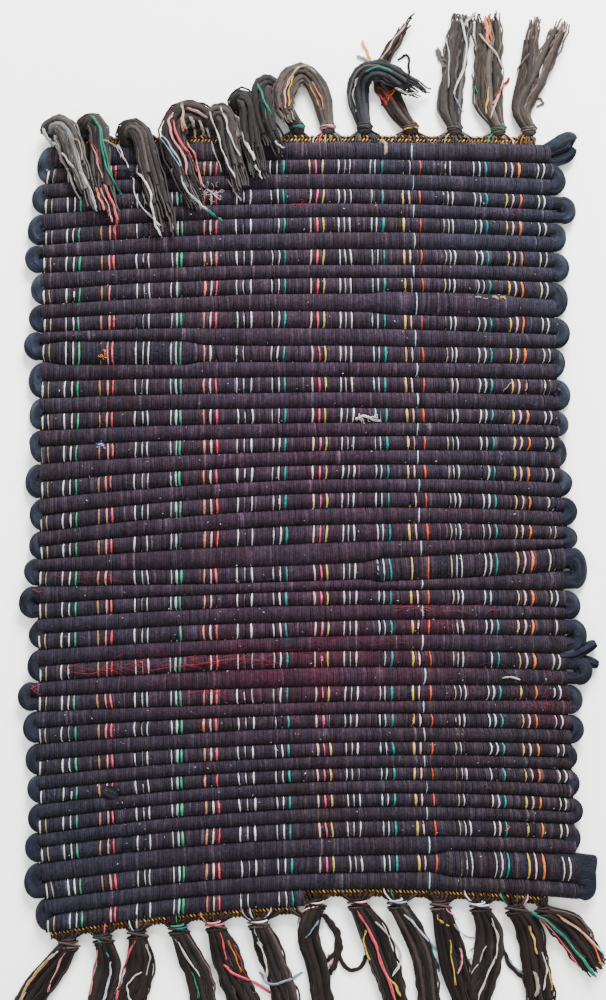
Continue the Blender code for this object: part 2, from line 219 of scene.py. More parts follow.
def fromPhoto(pixel, height):       # where a pixel of the photo lies, at a height above the floor
    across = (pixel[0] - view["frame"][0] / 2) / view["focal"]
    up = (view["frame"][1] / 2 - pixel[1]) / view["focal"]
    cos, sin = math.cos(view["tilt"]), math.sin(view["tilt"])
    spot = cameraSpot()
    reach = (spot.z - height) / (cos - up * sin)
    return Vector((spot.x + reach * across, spot.y + reach * (up * cos + sin), height))


def buildCamera():
    data = bpy.data.cameras.new("photoCamera")
    data.sensor_fit = "VERTICAL"
    data.sensor_height = view["sensorHeight"]
    data.lens = view["focal"] * view["sensorHeight"] / view["frame"][1]
    data.clip_start = view["clipStart"]
    camera = addObject("photoCamera", data)
    camera.location = cameraSpot() * mm
    camera.rotation_euler = (view["tilt"], 0, 0)
    bpy.context.scene.camera = camera


studio = {
    "floor": "#fbfbfa",
    "floorHalf": 2.5,           # metres, as all the studio's places are
    "floorDrop": 0.0003,        # below the mat's lowest yarns
    "floorRough": 0.9,
    "world": 1.75,
    "keyPower": 250.0,
    "keySpot": (0.45, 1.9, 1.15),
    "keySize": 1.1,
    "fillPower": 14.0,
    "fillSpot": (-1.4, -0.6, 1.5),
    "fillSize": 1.6,
}


def areaLamp(name, spot, size, power):
    data = bpy.data.lights.new(name, "AREA")
    data.size = size
    data.energy = power
    lamp = addObject(name, data)
    lamp.location = spot
    lamp.rotation_euler = (-Vector(spot)).to_track_quat("-Z", "Y").to_euler()


def buildStudio():
    mesh = bpy.data.meshes.new("floor")
    half = studio["floorHalf"]
    corners = [(-half, -half, 0), (half, -half, 0), (half, half, 0), (-half, half, 0)]
    mesh.from_pydata(corners, [], [(0, 1, 2, 3)])
    floor = addObject("floor", mesh)
    floor.location.z = -studio["floorDrop"]
    material, tree, shader = newMaterial("paleFloor")
    setInputs(tree, shader, {
        "Base Color": (*linear(studio["floor"]), 1), "Roughness": studio["floorRough"]})
    mesh.materials.append(material)
    areaLamp("keyLamp", studio["keySpot"], studio["keySize"], studio["keyPower"])
    areaLamp("fillLamp", studio["fillSpot"], studio["fillSize"], studio["fillPower"])
    world = bpy.data.worlds.new("studioWorld")
    world.use_nodes = True
    setInputs(world.node_tree, world.node_tree.nodes["Background"], {
        "Color": (1, 1, 1, 1), "Strength": studio["world"]})
    bpy.context.scene.world = world


# Helpers for node trees: an input is given a value, or a socket to be linked
def setInputs(tree, node, values):
    for name, value in values.items():
        if isinstance(value, bpy.types.NodeSocket):
            tree.links.new(value, node.inputs[name])
        else:
            node.inputs[name].default_value = value


def addNode(tree, kind, values=None, **settings):
    node = tree.nodes.new(kind)
    for name, value in settings.items():
        setattr(node, name, value)
    setInputs(tree, node, values or {})
    return node


def newMaterial(name):
    material = bpy.data.materials.new(name)
    material.use_nodes = True
    return material, material.node_tree, material.node_tree.nodes["Principled BSDF"]


def colourRamp(tree, factor, stops):
    node = addNode(tree, "ShaderNodeValToRGB", {"Fac": factor})
    elements = node.color_ramp.elements
    while len(elements) < len(stops):
        elements.new(0.5)
    for element, (place, colour) in zip(elements, stops):
        element.position = place
        element.color = (*(linear(colour) if isinstance(colour, str) else [colour] * 3), 1)
    return node.outputs["Color"]


def noiseTexture(tree, vector, scale, detail, roughness=0.5, distortion=0.0):
    return addNode(tree, "ShaderNodeTexNoise", {
        "Vector": vector, "Scale": scale, "Detail": detail, "Roughness": roughness,
        "Distortion": distortion}).outputs["Fac"]


def stretched(tree, vector, scale):
    return addNode(tree, "ShaderNodeMapping", {
        "Vector": vector, "Scale": (*scale, 1.0)}).outputs["Vector"]


def bumpNormal(tree, height, strength, distance, **more):
    return addNode(tree, "ShaderNodeBump", {
        "Height": height, "Strength": strength, "Distance": distance, **more}).outputs["Normal"]


# A Mix node set to colours has its factor at 0, its colours at 6 and 7 and its result at 2
def mixColours(tree, mode, first, second, share=1.0):
    node = addNode(tree, "ShaderNodeMix", {0: share, 6: first, 7: second},
                   data_type="RGBA", blend_type=mode)
    return node.outputs[2]


yarnFinish = {
    "fibreScale": 900,          # spots of light and dark along each yarn, per metre
    "mottleScale": 320,
    "patchScale": 90.0,
    "patchDark": 0.7,
    "rough": (0.78, 0.98),
    "bump": 0.35,
    "bumpDistance": 0.0006,
    "sheen": 0.02,
    "sheenRough": 0.5,
    "specular": 0.06,
}


def spunYarn(name, contrast, mottle):
    material, tree, shader = newMaterial(name)
    place = addNode(tree, "ShaderNodeTexCoord").outputs["Object"]
    own = addNode(tree, "ShaderNodeAttribute", attribute_name="yarnColour").outputs["Color"]
    fibres = noiseTexture(tree, place, yarnFinish["fibreScale"], 3.0, 0.6)
    blotches = noiseTexture(tree, place, yarnFinish["mottleScale"], 3.0, 0.7)
    patches = noiseTexture(tree, place, yarnFinish["patchScale"], 2.0)
    shaded = own
    for pattern, low, high, dark in ((fibres, 0.32, 0.68, 1.0 - contrast),
                                     (blotches, 0.36, 0.64, 1.0 - mottle),
                                     (patches, 0.3, 0.7, yarnFinish["patchDark"])):
        light = colourRamp(tree, pattern, ((low, dark), (high, 1.0)))
        shaded = mixColours(tree, "MULTIPLY", shaded, light)
    dull, dry = yarnFinish["rough"]
    setInputs(tree, shader, {
        "Base Color": shaded,
        "Roughness": colourRamp(tree, fibres, ((0.3, dull), (0.7, dry))),
        "Normal": bumpNormal(tree, fibres, yarnFinish["bump"], yarnFinish["bumpDistance"]),
        "Sheen Weight": yarnFinish["sheen"],
        "Sheen Roughness": yarnFinish["sheenRough"],
        "Specular IOR Level": yarnFinish["specular"]})
    return material


jerseyFinish = {
    "dark": "#090a10",
    "navy": "#10121c",
    "light": "#171a27",
    "face": "#2c3441",                  # the painted highlight where the rag turns
    "creaseScale": (38.0, 170.0),       # creases per metre along and around the rag
    "creaseWarp": 1.4,
    "creaseBump": (0.8, 0.005),         # strength and distance
    "patchScale": 45.0,
    "fuzzScale": 1500.0,
    "fuzzDark": 0.7,
    "knitScale": (900.0, 1400.0),
    "knitBump": (0.3, 0.0004),
    "rough": (0.72, 0.95),
    "sheen": 0.02,
    "sheenRough": 0.4,
    "specular": 0.12,
}


def jerseyMaterial():       # the rag: knitted jersey torn in strips, creased along its length
    material, tree, shader = newMaterial("navyJersey")
    around = addNode(tree, "ShaderNodeUVMap", uv_map="rag").outputs["UV"]
    place = addNode(tree, "ShaderNodeTexCoord").outputs["Object"]
    highlightShare = addNode(tree, "ShaderNodeAttribute", attribute_name="ragHighlight").outputs["Fac"]
    creases = noiseTexture(tree, stretched(tree, around, jerseyFinish["creaseScale"]), 1.0, 4.0,
                           0.6, jerseyFinish["creaseWarp"])
    patches = noiseTexture(tree, place, jerseyFinish["patchScale"], 3.0)
    fuzz = noiseTexture(tree, place, jerseyFinish["fuzzScale"], 2.0)
    knit = addNode(tree, "ShaderNodeTexVoronoi", {
        "Vector": stretched(tree, around, jerseyFinish["knitScale"]), "Scale": 1.0})
    # the cloth darker in the hollows of the creases that the bump draws, which is painted shade,
    # and in random patches
    tone = addNode(tree, "ShaderNodeMath", {0: creases, 1: patches}, operation="MULTIPLY")
    base = colourRamp(tree, tone.outputs["Value"], (
        (0.12, jerseyFinish["dark"]), (0.25, jerseyFinish["navy"]), (0.42, jerseyFinish["light"])))
    # the painted highlight colour, mixed into the turns by the ragHighlight attribute
    face = colourRamp(tree, creases, ((0.3, jerseyFinish["light"]), (0.6, jerseyFinish["face"])))
    turned = mixColours(tree, "MIX", base, face, highlightShare)
    speckle = colourRamp(tree, fuzz, ((0.3, jerseyFinish["fuzzDark"]), (0.7, 1.0)))
    folds = bumpNormal(tree, creases, *jerseyFinish["creaseBump"])
    loops = bumpNormal(
        tree, knit.outputs["Distance"], *jerseyFinish["knitBump"], Normal=folds)
    dull, dry = jerseyFinish["rough"]
    setInputs(tree, shader, {
        "Base Color": mixColours(tree, "MULTIPLY", turned, speckle),
        "Roughness": colourRamp(tree, patches, ((0.3, dull), (0.7, dry))),
        "Normal": loops,
        "Sheen Weight": jerseyFinish["sheen"],
        "Sheen Roughness": jerseyFinish["sheenRough"],
        "Specular IOR Level": jerseyFinish["specular"]})
    return material


fineSides = 3


# Geometry Nodes that turn guide lines into yarns
# Fine yarns get one section and thick ones, marked on the guides, another with more sides
def yarnTree(name, normalMode):
    tree = bpy.data.node_groups.new(name, "GeometryNodeTree")
    for label, kind in (("Guides", "Geometry"), ("Sides", "Int"), ("Thick sides", "Int"),
                        ("Radius", "Float"), ("Flatness", "Float"), ("Finish", "Material")):
        tree.interface.new_socket(label, in_out="INPUT", socket_type="NodeSocket" + kind)
    tree.interface.new_socket("Yarns", in_out="OUTPUT", socket_type="NodeSocketGeometry")
    given = addNode(tree, "NodeGroupInput").outputs
    size, thick = (
        addNode(tree, "GeometryNodeInputNamedAttribute", {"Name": name}, data_type=kind)
        for name, kind in (("yarnSize", "FLOAT"), ("thickYarn", "BOOLEAN")))
    parted = addNode(tree, "GeometryNodeSeparateGeometry", {
        "Geometry": given["Guides"], "Selection": thick.outputs["Attribute"]}, domain="POINT")
    squash = addNode(tree, "ShaderNodeCombineXYZ", {"X": given["Flatness"], "Y": 1.0, "Z": 1.0})
    joined = addNode(tree, "GeometryNodeJoinGeometry")
    for share, sides in (("Inverted", "Sides"), ("Selection", "Thick sides")):
        curves = addNode(tree, "GeometryNodeMeshToCurve", {"Mesh": parted.outputs[share]})
        turned = addNode(tree, "GeometryNodeSetCurveNormal", {
            "Curve": curves.outputs["Curve"]}, mode=normalMode)
        ring = addNode(tree, "GeometryNodeCurvePrimitiveCircle", {
            "Resolution": given[sides], "Radius": given["Radius"]}, mode="RADIUS")
        section = addNode(tree, "GeometryNodeTransform", {
            "Geometry": ring.outputs["Curve"], "Scale": squash.outputs["Vector"],
            "Rotation": (0, 0, math.radians(90))})
        tubes = addNode(tree, "GeometryNodeCurveToMesh", {
            "Curve": turned.outputs["Curve"], "Profile Curve": section.outputs["Geometry"],
            "Scale": size.outputs["Attribute"], "Fill Caps": True})
        tree.links.new(tubes.outputs["Mesh"], joined.inputs["Geometry"])
    soft = addNode(tree, "GeometryNodeSetShadeSmooth", {"Geometry": joined.outputs["Geometry"]})
    real = addNode(tree, "GeometryNodeRealizeInstances", {"Geometry": soft.outputs["Geometry"]})
    painted = addNode(tree, "GeometryNodeSetMaterial", {
        "Geometry": real.outputs["Geometry"], "Material": given["Finish"]})
    result = tree.nodes.new("NodeGroupOutput")
    tree.links.new(painted.outputs["Geometry"], result.inputs["Yarns"])
    return tree


def inputName(tree, label):
    return next(item.identifier for item in tree.interface.items_tree if item.name == label)


# Runs a tree on its guides and keeps the result as a plain mesh in a new object
def growFrom(guides, tree, values, name):
    modifier = guides.modifiers.new("grow", "NODES")
    modifier.node_group = tree
    for label, value in values.items():
        modifier[inputName(tree, label)] = value
    evaluated = guides.evaluated_get(bpy.context.evaluated_depsgraph_get())
    mesh = bpy.data.meshes.new_from_object(evaluated)
    mesh.name = name
    guides.modifiers.remove(modifier)
    bpy.data.objects.remove(guides)
    return addObject(name, mesh)


# Guide lines for yarns: each line is a dictionary of points, sizes, colours and whether it is thick
def guideObject(lines, radius):
    spots, edges, sizes, colours, thick = [], [], [], [], []
    for line in lines:
        points, count = line["points"], len(line["points"])
        first = len(spots)
        widths, tints = line["sizes"], line["colours"]
        if not isinstance(widths, list):
            widths = [widths] * count
        if not isinstance(tints[0], (list, tuple)):
            tints = [tints] * count
        for point, width in zip(points, widths):
            spots.append((point[0] * mm, point[1] * mm, max(point[2], width * radius) * mm))
        edges.extend((first + i, first + i + 1) for i in range(count - 1))
        sizes.extend(widths)
        colours.extend([(*tint, 1.0) for tint in tints])
        thick.extend([line.get("thick", False)] * count)
    mesh = bpy.data.meshes.new("guides")
    mesh.from_pydata(spots, edges, [])
    mesh.attributes.new("yarnSize", "FLOAT", "POINT").data.foreach_set("value", sizes)
    mesh.attributes.new("thickYarn", "BOOLEAN", "POINT").data.foreach_set("value", thick)
    tint = mesh.attributes.new("yarnColour", "FLOAT_COLOR", "POINT")
    tint.data.foreach_set("color", np.array(colours, dtype=np.float32).ravel())
    return addObject("guides", mesh)


# Yarns along their lines, kept off the floor by the radius given as lift
def growYarns(name, lines, tree, material, radius, thickSides, flatness=1.0, lift=None):
    guides = guideObject(lines, radius if lift is None else lift)
    return growFrom(guides, tree, {
        "Sides": fineSides, "Thick sides": thickSides, "Radius": radius * mm, "Flatness": flatness,
        "Finish": material}, name)


def keepPiece(piece, slot, *nodes):
    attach(piece, "root")
    if nodes:
        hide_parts(*nodes)
    return piece


# The rag: one long strip laid back and forth, pick after pick
rag = {
    "middle": 4.75,
    "halfHeight": 3.85,
    "fill": 0.9,                # half width, as a share of half the pick
    "step": 13.0,
    "sides": 24,
    "lowest": 0.7,              # no part of the rag lies lower
    "turnDeep": 4.4,            # from the last straight point out to the middle of the turn
    "turnHalf": 7.4,            # half width at the outermost point of a turn
    "turnSteps": 16,
    "foldDeep": 0.5,
    "turnFold": 4.0,
    "foldLength": 30,
    "streakLength": 7,
    "girth": 4.2,               # round the strip, in half widths
    "innerPower": 0.35,         # how square the strip is towards the inside of a turn
    "innerCrease": 1.4,         # and how deep it creases there
    "creaseAt": (0.75, 0.3),    # where that crease lies across the strip, and how wide it is
    "twist": 0.9,
    "skew": (0.3, 0.4, 1.6),    # how far a turn sags to one side, and how that varies
    "turnHeight": 0.95,
    "reach": 1.4,
    "startX": 176.0,
    "pastStep": 1.5,            # how far the last rag reaches past the step
    "shine": (0.55, 1.3),       # how strong the painted highlight on a turn is, and how that varies
    "shineFade": (0.3, -260, 120),      # the painted highlight weaker towards the bottom
    "highlightFrom": 1.6,            # how soon in a turn the painted highlight shows
    "highlightAcross": (-0.7, 0.4),  # and where it does, across the strip and up it
    "highlightUp": (-0.4, 0.5),
    "endLoose": 0.7,
    # painted highlight on the loose ends
    "endHighlight": 0.35,
    "endSteps": 5,
}
# Loose ends of the strip, from where each lies hidden out to its cut end: x, y, half width
# and middle height
ragEnds = {
    "folded start": {"flat": 0.5, "side": 1, "points": (
        (172, 263, 4.6, 5.0), (182, 265.5, 5.6, 5.8), (190, 269, 6.4, 6.8), (196.5, 273, 6.8, 7.0),
        (201, 274.5, 6.4, 6.4), (204.5, 273, 4.0, 5.4))},
    "folded layer": {"flat": 0.55, "side": 1, "points": (
        (176, 260, 4.8, 3.8), (186, 259.5, 6.0, 3.9), (194, 261, 6.2, 3.9), (200, 265, 5.4, 3.8),
        (203, 269, 3.4, 3.6))},
    "upper prong": {"flat": 0.8, "side": 1, "points": (
        (184, -113, 4.0, 6.0), (193, -112.5, 4.6, 6.4), (201, -108.5, 4.6, 6.4),
        (207.5, -105, 4.0, 5.4), (210.5, -103.5, 2.6, 4.6))},
    "lower prong": {"flat": 0.7, "side": -1, "points": (
        (184, -116, 4.0, 5.4), (194, -115.5, 4.4, 5.4), (203, -116.5, 4.2, 4.8),
        (210, -118.5, 3.4, 4.2), (212, -119, 2.2, 4.0))},
    "wide cut end": {"flat": 0.95, "side": 0, "points": (
        (170, -258, 6.5, 4.8), (180, -259.5, 9.0, 5.2), (189, -262, 11.5, 5.6),
        (197, -264.5, 13.0, 5.4), (203, -266, 13.4, 5.0), (205.4, -266.5, 11.5, 4.6))},
    "nub": {"flat": 0.42, "side": 1, "points": (
        (52.5, -46.5, 1.6, 8.6), (53.5, -50, 3.4, 9.2), (55, -55, 3.6, 9.0), (56, -59, 1.8, 7.4))},
    "dark nub": {"flat": 0.45, "side": -1, "points": (
        (-143, -207, 2.4, 8.2), (-139, -208.5, 4.8, 8.8), (-134.5, -210, 4.6, 8.8),
        (-131, -211, 2.2, 7.8))},
}


def pickLine(pick, x):
    upper, lower = grooveY(pick - 1, x), grooveY(pick, x)
    return 0.5 * (upper + lower), 0.5 * (upper - lower)


def stripPlace(x, y, half, **more):
    return {"x": x, "y": y, "half": half, "middle": rag["middle"], "height": 1.0, "twist": 0.0,
            "loose": 0.0, "outer": 0.0, "shine": 1.0, **more}


def signedPower(value, power):
    return math.copysign(abs(value) ** power, value)


# The rag's way round from one pick into the next at a side edge
def turnPlaces(side, upperPick):
    if side < 0:
        rib = ribs[(upperPick - 1) // 2]
        reach, square = rib["turnLeft"], 1
    else:
        rib = ribs[upperPick // 2 - 1]
        reach, square = rib["turnRight"], rib["square"]
    deep = rag["turnDeep"]
    foot = side * (reach + rag["reach"] - rag["turnHalf"] - deep)
    upper, upperHalf = pickLine(upperPick, foot)
    lower, lowerHalf = pickLine(upperPick + 1, foot)
    middle, spread = 0.5 * (upper + lower), 0.5 * (upper - lower)
    places = []
    most, usual, varies = rag["skew"]
    skew = most * (usual + varies * drift(upperPick * 0.77, side * 2.3, 5.0))
    # how strong the painted highlight on this turn is, weaker towards the bottom
    usual, varies = rag["shine"]
    shine = clamp(usual + varies * drift(upperPick * 1.31, side * 4.1, 8.0), 0.1)
    least, low, high = rag["shineFade"]
    shine *= mix(least, 1.0, smooth(middle, low, high))
    for step in range(1, rag["turnSteps"]):
        share = step / rag["turnSteps"]
        angle = math.pi * share ** (1 + skew)
        out = math.sin(angle) ** (1 / square)
        along = signedPower(math.cos(angle), 1 / square)
        half = mix(mix(upperHalf, lowerHalf, share), rag["turnHalf"], out)
        places.append(stripPlace(
            foot + side * deep * out, middle + spread * along, half,
            height=mix(1.0, rag["turnHeight"], out),
            twist=rag["twist"] * drift(upperPick * 1.7, side * 3.1, 0.4) * out, loose=out,
            outer=side * min(1.0, rag["highlightFrom"] * out), shine=shine))
    return foot, places


def ragPath():
    path = []
    feet = {0: rag["startX"]}
    turns = {}
    for pick in range(1, picks):
        side = -1 if pick % 2 else 1
        feet[pick], turns[pick] = turnPlaces(side, pick)
    feet[picks] = weave["stepX"] + rag["pastStep"]
    for pick in range(1, picks + 1):
        start, end = feet[pick - 1], feet[pick]
        count = max(int(abs(end - start) / rag["step"]), 2)
        for i in range(count + 1):
            x = mix(start, end, i / count)
            y, half = pickLine(pick, x)
            higher = 0.5 * slubValue(pick, x, "higher")
            path.append(stripPlace(
                x, y, half * rag["fill"], middle=rag["middle"] + higher,
                height=1.0 + higher / rag["halfHeight"], loose=slubValue(pick, x, "bare")))
        if pick < picks:
            path.extend(turns[pick])
    return path


def endPath(end):
    steps = rag["endSteps"] * (len(end["points"]) - 1)
    return [
        stripPlace(x, y, half, middle=middle, height=end["flat"], loose=rag["endLoose"],
                   outer=end["side"], shine=rag["endHighlight"])
        for x, y, half, middle in routeCurve([Vector(point) for point in end["points"]], steps)]


# One section of the strip, with the painted highlight of each of its points: folds run along it,
# and a crease lies inside its turns
def stripSection(place, sideways, travelled, seed):
    deep = mix(rag["foldDeep"], rag["turnFold"], min(place["loose"], 1.0))
    cosTwist, sinTwist = math.cos(place["twist"]), math.sin(place["twist"])
    creaseAt, creaseWide = rag["creaseAt"]
    section, tones = [], []
    for k in range(rag["sides"]):
        angle = 2 * math.pi * k / rag["sides"]
        cos, sin = math.cos(angle), math.sin(angle)
        outward = cos * place["outer"]
        power = mix(1.0, rag["innerPower"], clamp(-2.0 * outward))
        across = place["half"] * cos
        up = rag["halfHeight"] * place["height"] * signedPower(sin, power)
        crease = drift(travelled / rag["foldLength"] + seed, 2.4 * cos + seed, 2.4 * sin)
        pull = 1.0 - deep * (1.0 - min(abs(crease) * 3.0, 1.0)) ** 2 / place["half"]
        across, up = across * pull, up * pull
        if sin > 0:
            near = math.exp(-((outward + creaseAt) / creaseWide) ** 2)
            up -= rag["innerCrease"] * abs(place["outer"]) * sin * near
        across, up = across * cosTwist - up * sinTwist, across * sinTwist + up * cosTwist
        spot = Vector((place["x"], place["y"], max(place["middle"] + up, rag["lowest"])))
        section.append(tuple(c * mm for c in spot + sideways * across))
        streak = 0.7 + 1.2 * drift(travelled / rag["streakLength"] + seed, 1.4 * cos, 4.0 + sin)
        # painted highlight: paler on the outer, upper side of a turn
        lit = abs(place["outer"]) * smooth(outward, *rag["highlightAcross"])
        lit *= smooth(sin, *rag["highlightUp"])
        tones.append(max(place["shine"] * streak, 0.0) * lit)
    return section, tones


# A closed strip of cloth along a path
def sweepStrip(path, seed, verts, faces, uvs, tones):
    sides = rag["sides"]
    first = len(verts)
    travelled = 0.0
    for i, place in enumerate(path):
        ahead, behind = path[min(i + 1, len(path) - 1)], path[max(i - 1, 0)]
        tangent = Vector((ahead["x"] - behind["x"], ahead["y"] - behind["y"], 0)).normalized()
        step = math.hypot(place["x"] - behind["x"], place["y"] - behind["y"]) if i else 0.0
        travelled += step
        section, sectionHighlights = stripSection(
            place, Vector((-tangent.y, tangent.x, 0)), travelled, seed)
        verts.extend(section)
        tones.extend(sectionHighlights)
        if i:
            row, before = first + i * sides, first + (i - 1) * sides
            girth = rag["girth"] * place["half"]
            u0, u1 = (travelled - step) * mm, travelled * mm
            for k in range(sides):
                after = (k + 1) % sides
                faces.append((before + k, before + after, row + after, row + k))
                v0, v1 = girth * k / sides * mm, girth * (k + 1) / sides * mm
                uvs.append(((u0, v0), (u0, v1), (u1, v1), (u1, v0)))
    last = first + (len(path) - 1) * sides
    faces.append(tuple(first + k for k in range(sides)))
    faces.append(tuple(last + k for k in reversed(range(sides))))
    uvs.extend(([(0.0, 0.0)] * sides, [(travelled * mm, 0.0)] * sides))


def buildRag(material):
    verts, faces, uvs, tones = [], [], [], []
    sweepStrip(ragPath(), 0.0, verts, faces, uvs, tones)
    for number, end in enumerate(ragEnds.values()):
        sweepStrip(endPath(end), 5.0 + number, verts, faces, uvs, tones)
    mesh = bpy.data.meshes.new("ragPicks")
    mesh.from_pydata(verts, [], faces)
    layer = mesh.uv_layers.new(name="rag")
    flat = np.array([c for face in uvs for uv in face for c in uv], dtype=np.float32)
    layer.data.foreach_set("uv", flat)
    # the painted highlight of each point, read by the material
    tone = mesh.attributes.new("ragHighlight", "FLOAT", "POINT")
    tone.data.foreach_set("value", [min(t, 1.0) for t in tones])
    mesh.shade_smooth()
    mesh.materials.append(material)
    return addObject("ragPicks", mesh)


# The warp: two sheds of ends that pass over every second pick and under the others
warp = {
    "firstX": -192.4,
    "lastX": 185.6,
    "pitch": 1.5,
    "radius": 0.9,
    "thickness": {"dark": (0.95, 1.18), "pale": (0.58, 0.8), "bright": (0.76, 0.98)},
    "fullness": {"dark": (0.85, 1.25), "coloured": (0.72, 1.12)},   # width on a crest
    "light": (0.8, 1.15),       # how much a coloured float differs from the next
    "flatness": 0.72,
    "rise": 4.15,               # from mid height up to the middle of an end on a crest
    "drop": 4.42,
    "overShares": (0.0, 0.13, 0.36, 0.64, 0.87),
    "underShares": (0.0, 0.28, 0.72),
    "lean": 0.0096,             # sideways for each millimetre down the mat
    "leanFrom": 27.0,
    "sunk": 1.7,                # how far an end drops where the rag shows
    "bareFrom": (0.6, 0.75),    # how rare such patches are
    "proud": 0.28,              # coloured ends lie this much over their neighbours
    "neck": {"dark": 0.85, "coloured": 0.4},        # width in the groove
    "hiddenShare": 0.03,
    "hidden": 1.8,
}
darkYarns = ("#2b2329", "#30262b", "#28232c", "#342b32", "#2a2631", "#3e343a")
stripeColours = {
    "cream": "#dad5c4",
    "tan": "#a59678",
    "white": "#e8e8ea",
    "thinWhite": "#cbcacf",
    "blueWhite": "#c9dde3",
    "lilac": "#c5bccb",
    "green": "#3fa07c",
    "paleTeal": "#9fcdc4",
    "teal": "#1f948a",
    "tanBrown": "#a8795a",
    "salmon": "#ec9089",
    "coral": "#ea5260",
    "orangeTan": "#dc8270",
    "pinkWhite": "#f5c2be",
    "pink": "#e8557f",
    "yellow": "#e6c666",
    "orangeRed": "#e8552f",
    "orange": "#ee7c3a",
    "greyCream": "#b5ac97",
}
paleYarns = ("cream", "tan", "white", "thinWhite", "blueWhite", "lilac", "greyCream")
# Coloured ends across the mat: where each lies, its colour and how thick it is
stripes = (
    (-191.0, "cream", 1.25), (-186.8, "tan", 0.9),
    (-175.1, "white", 1.0), (-169.9, "white", 1.1), (-165.6, "green", 1.2),
    (-149.1, "tanBrown", 1.0), (-143.3, "salmon", 1.1), (-139.7, "coral", 1.1),
    (-122.9, "white", 1.1), (-117.5, "thinWhite", 0.8), (-113.8, "white", 1.1),
    (-97.0, "thinWhite", 0.9), (-93.2, "paleTeal", 1.1), (-90.1, "green", 1.2),
    (-73.0, "orangeTan", 1.1), (-68.2, "pinkWhite", 1.15), (-64.0, "coral", 1.2),
    (-48.9, "white", 1.15), (-43.8, "lilac", 0.85), (-38.3, "white", 1.15),
    (-22.8, "thinWhite", 0.9), (-18.0, "white", 1.1), (-13.5, "teal", 1.2),
    (6.6, "pinkWhite", 1.15), (11.4, "pink", 1.15), (15.9, "yellow", 1.0),
    (27.5, "white", 1.0), (31.7, "thinWhite", 0.8), (35.9, "white", 1.1),
    (52.2, "blueWhite", 1.0), (56.1, "blueWhite", 1.0), (61.0, "teal", 1.2),
    (76.2, "yellow", 1.1), (80.7, "pinkWhite", 1.0), (88.8, "orangeRed", 1.15),
    (105.9, "greyCream", 0.9), (109.3, "thinWhite", 0.9), (112.9, "white", 1.1),
    (129.7, "white", 0.95), (133.7, "blueWhite", 1.1), (138.2, "teal", 1.2),
    (152.9, "yellow", 1.15), (157.8, "pinkWhite", 1.05), (163.2, "orange", 1.15),
    (176.7, "cream", 1.1), (180.9, "white", 1.1),
)
plainStripes = ((83.8, "blueWhite", 0.9),)
crosswise = {
    "bow": (0.8, 1.6, 0.2),     # how far ends bow aside on a rib, how that varies, and its usual
    "rightBow": (1.2, 70, 185),         # more to the right side
    "lean": 1.1,
    "tilt": 1.0,
    "jitter": 0.6,
    "wander": 1.1,
    "uneven": 0.25,
    "lowerShift": (2.3, 130, 290),      # the ends drift to the right towards the bottom
    "bottomPull": (7.0, 235, 300, -200, -110),      # and draw in at the two left corners
    "topPull": (5.0, 235, 268, -200, -150),
}


def pullAcross(x, y):
    shift, start, end = crosswise["lowerShift"]
    total = shift * smooth(-y, start, end)
    for name, way in (("bottomPull", -1), ("topPull", 1)):
        pull, start, end, left, right = crosswise[name]
        total += pull * smooth(way * y, start, end) * (1.0 - smooth(x, left, right))
    return total


heather = {
    "light": (0.84, 1.3),       # how much one float differs from the next
    "fleckShare": 0.03,
    "fleck": 2.0,
    "halfSize": (190, 275),
    "corners": ("#282a37", 0.8),        # the dye looks bluer towards two corners of the mat
    "cornerPatches": (0.12, 0.8, 60),
    "plum": ("#3a1f34", 0.42, (0, 0, 150, 210)),    # and redder in its middle
    "fade": (0.86, 1.17),       # painted light: the floats brighter from the bottom left to the top right
    "shade": (60, 190, 0.84),   # darker towards the right side
    "wine": ("#481c2c", 0.65, ((-8, -116, 95, 30), (80, -84, 45, 9), (178, -146, 25, 14))),
    "winePatches": (0.75, 1.2, 22, 8),
}


def nearSpot(x, y, spot):       # 1 at the middle of an oval and less away from it
    u, v, wide, tall = spot
    return math.exp(-((x - u) / wide) ** 2 - ((y - v) / tall) ** 2)


# Colour of one dark float: purplish black yarns with odd lighter ones, and painted light brighter
# towards the top right
def darkTint(chance, x, y):
    tint = linear(darkYarns[int(chance.random() ** 1.3 * len(darkYarns))])
    corner = 0.5 * (x / heather["halfSize"][0] + y / heather["halfSize"][1])
    blue, share = heather["corners"]
    usual, varies, wide = heather["cornerPatches"]
    share *= clamp(usual + corner * corner + varies * drift(x / wide, y / wide, 2.0))
    tint = blend(tint, blue, share)
    plum, share, spot = heather["plum"]
    tint = blend(tint, plum, share * nearSpot(x, y, spot))
    wine, share, spots = heather["wine"]
    share *= max(nearSpot(x, y, spot) for spot in spots)
    usual, varies, wide, tall = heather["winePatches"]
    tint = blend(tint, wine, share * clamp(usual + varies * drift(x / wide, y / tall, 6.0)))
    start, end, least = heather["shade"]
    # painted light: brighter towards the top right
    light = mix(*heather["fade"], smooth(corner, -0.9, 0.9))
    light *= mix(1.0, least, smooth(x, start, end))
    light *= chance.uniform(*heather["light"])
    if chance.random() < heather["fleckShare"]:
        light *= heather["fleck"]
    return dimmed(tint, light)


